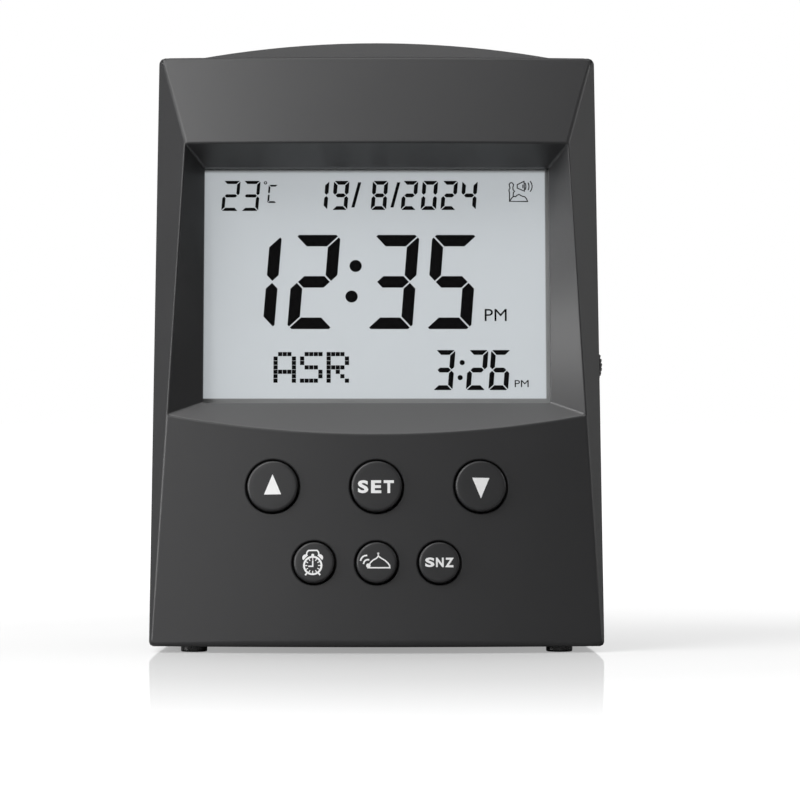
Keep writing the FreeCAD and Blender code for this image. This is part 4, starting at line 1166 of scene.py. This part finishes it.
row_border, wrap_end, band_start, band_end = 20.5, 24.0, 15.0, 20.0
cell_finish = Finish("printed_cell_wrap", {})
way_round = (cell_finish.axis("Z") > row_border * MM) * 2.0 - 1.0
plus_way = cell_finish.axis("X") * way_round / MM
steel_end = plus_way.maths("ABSOLUTE") > wrap_end
pale_band = (plus_way > band_start) * (plus_way < band_end)
wrap = cell_finish.blend(pale_band, (0.020, 0.075, 0.110), (0.62, 0.63, 0.60))
cell_finish.tint(steel_end, wrap, (0.62, 0.62, 0.60))
cell_finish.vary({"Metallic": steel_end, "Roughness": 0.28 + cell_finish.noise(3.0) * 0.08})
cell_finish.on("cells")
case_finish.on("battery_door")

# ---------------------------------------------------------------- Rubber feet
# Four small rubber buttons that keep the clock from sliding. They are moulded in black rubber and pressed
# into sockets in the underside.

rubber_finish = Finish("black_rubber", {"Specular IOR Level": 0.5})
dust = rubber_finish.mottle(0.6, (0.010, 0.010, 0.010), (0.018, 0.018, 0.018), 3.0)
rubber_finish.vary({"Roughness": 0.22 + dust * 0.12})
rubber_finish.relief(dust, 0.01)
rubber_finish.on("rubber_feet")

# ---------------------------------------------------------------- Floor, light and camera
# A pale studio table that runs into a white surround. Four soft lamps stand at the left, one in front and
# one at the right, and one hangs overhead. The camera is level with the display's foot.

table_half = 4.0
table_corners = np.array([(-1, -1, 0), (1, -1, 0), (1, 1, 0), (-1, 1, 0)]) * table_half / MM
table = new_piece("table", table_corners, [[0, 1, 2, 3]])

# It looks paler than the light it throws back, glows towards the surround and mirrors the clock's foot
bounce, seen_white = 0.36, 0.40
glow_near, glow_start, glow_end = 0.62, 0.10, 0.45
mirror_foot, mirror_fade = 0.50, 1.85

table_finish = Finish("white_table", {"Roughness": 0.6, "Specular IOR Level": 0.0})
seen = table_finish.node("ShaderNodeLightPath", {}, {}, "Is Camera Ray")
table_finish.tint(seen, (bounce,) * 3, (seen_white,) * 3)
away = table_finish.vectors("LENGTH", table_finish.place())
ramp = {"Value": away, "From Min": glow_start, "From Max": glow_end, "To Min": glow_near, "To Max": 1.0}
glowing = seen * table_finish.node("ShaderNodeMapRange", {}, ramp)
glow = table_finish.node("ShaderNodeEmission", {}, {"Strength": glowing})
lit = Value(table_finish, table_finish.surface.outputs[0])
pale = table_finish.node("ShaderNodeAddShader", {}, {0: lit, 1: glow})
gloss = table_finish.node("ShaderNodeBsdfGlossy", {}, {"Roughness": 0.05})
mirror_share = seen * table_finish.node("ShaderNodeClamp", {}, {"Value": mirror_foot - away * mirror_fade})
top = table_finish.node("ShaderNodeMixShader", {}, {0: mirror_share, 1: pale, 2: gloss})
table_finish.feed(table_finish.tree.nodes["Material Output"], {"Surface": top})
table_finish.on("table")

surround_level, mirrored_level = 0.13, 0.15
backdrop_start, backdrop_end = 0.90, 0.96
world = bpy.data.worlds.new("studio")
bpy.context.scene.world = world
world.use_nodes = True


class Surround(Finish):
    """The studio's surround, built with the same node method as a finish."""

    def __init__(self, world):
        self.tree = world.node_tree
        self.surface = self.tree.nodes["Background"]


surround = Surround(world)
# White where it is looked at, dim where it is mirrored, but for a white patch straight behind
ray_kinds = ("Camera", "Glossy", "Transmission")
straight, mirrored, through = (
    surround.node("ShaderNodeLightPath", {}, {}, f"Is {kind} Ray") for kind in ray_kinds
)
direction = surround.node("ShaderNodeTexCoord", {}, {}, "Generated")
to_backdrop = surround.node("ShaderNodeSeparateXYZ", {}, {"Vector": direction}, "Y")
ramp = {"Value": to_backdrop, "From Min": backdrop_start, "From Max": backdrop_end, "To Min": mirrored_level}
backdrop = surround.node("ShaderNodeMapRange", {}, {**ramp, "To Max": 1.0})
strength = surround_level + mirrored * (backdrop - surround_level)
strength = strength.maths("MAXIMUM", straight.maths("MAXIMUM", through))
surround.feed(surround.surface, {"Color": (1, 1, 1), "Strength": strength})


lit_middle = Vector((0, 0, 0.06))


def lamp(name, place, size, power):
    """A rectangular soft lamp that faces the middle of the clock."""
    light = bpy.data.lights.new(name, "AREA")
    light.shape = "RECTANGLE"
    light.size, light.size_y = size
    light.energy = power
    holder = bpy.data.objects.new(name, light)
    holder.location = place
    holder.rotation_euler = (lit_middle - Vector(place)).to_track_quat("-Z", "Y").to_euler()
    bpy.context.scene.collection.objects.link(holder)


lamp("key", (-0.60, -0.30, 0.45), (0.5, 0.5), 1.6)
lamp("upper_left", (-0.45, -0.40, 0.75), (0.4, 0.4), 4.0)
lamp("low_left", (-0.75, -0.22, 0.16), (0.3, 0.4), 3.3)
lamp("front_left", (-0.45, -0.85, 0.35), (0.5, 0.5), 1.2)
lamp("front", (0, -1.1, 0.25), (0.6, 0.4), 0.4)
lamp("top", (-0.10, 0.0, 0.90), (0.7, 0.7), 3.3)
lamp("right", (0.75, 0.10, 0.30), (0.3, 0.5), 1.35)

camera_height, camera_distance, camera_turn, aim_x = 0.0524, 0.9, 0.31, 0.0045
camera = bpy.data.cameras.new("camera")
camera.sensor_width = 36
camera.lens = 209.6
eye = bpy.data.objects.new("camera", camera)
eye.location = (0, -camera_distance, camera_height)
aim = Vector((aim_x, 0, camera_height - camera_distance * math.tan(math.radians(camera_turn))))
eye.rotation_euler = (aim - eye.location).to_track_quat("-Z", "Y").to_euler()
bpy.context.scene.collection.objects.link(eye)
bpy.context.scene.camera = eye
bpy.context.scene.view_settings.view_transform = "Standard"
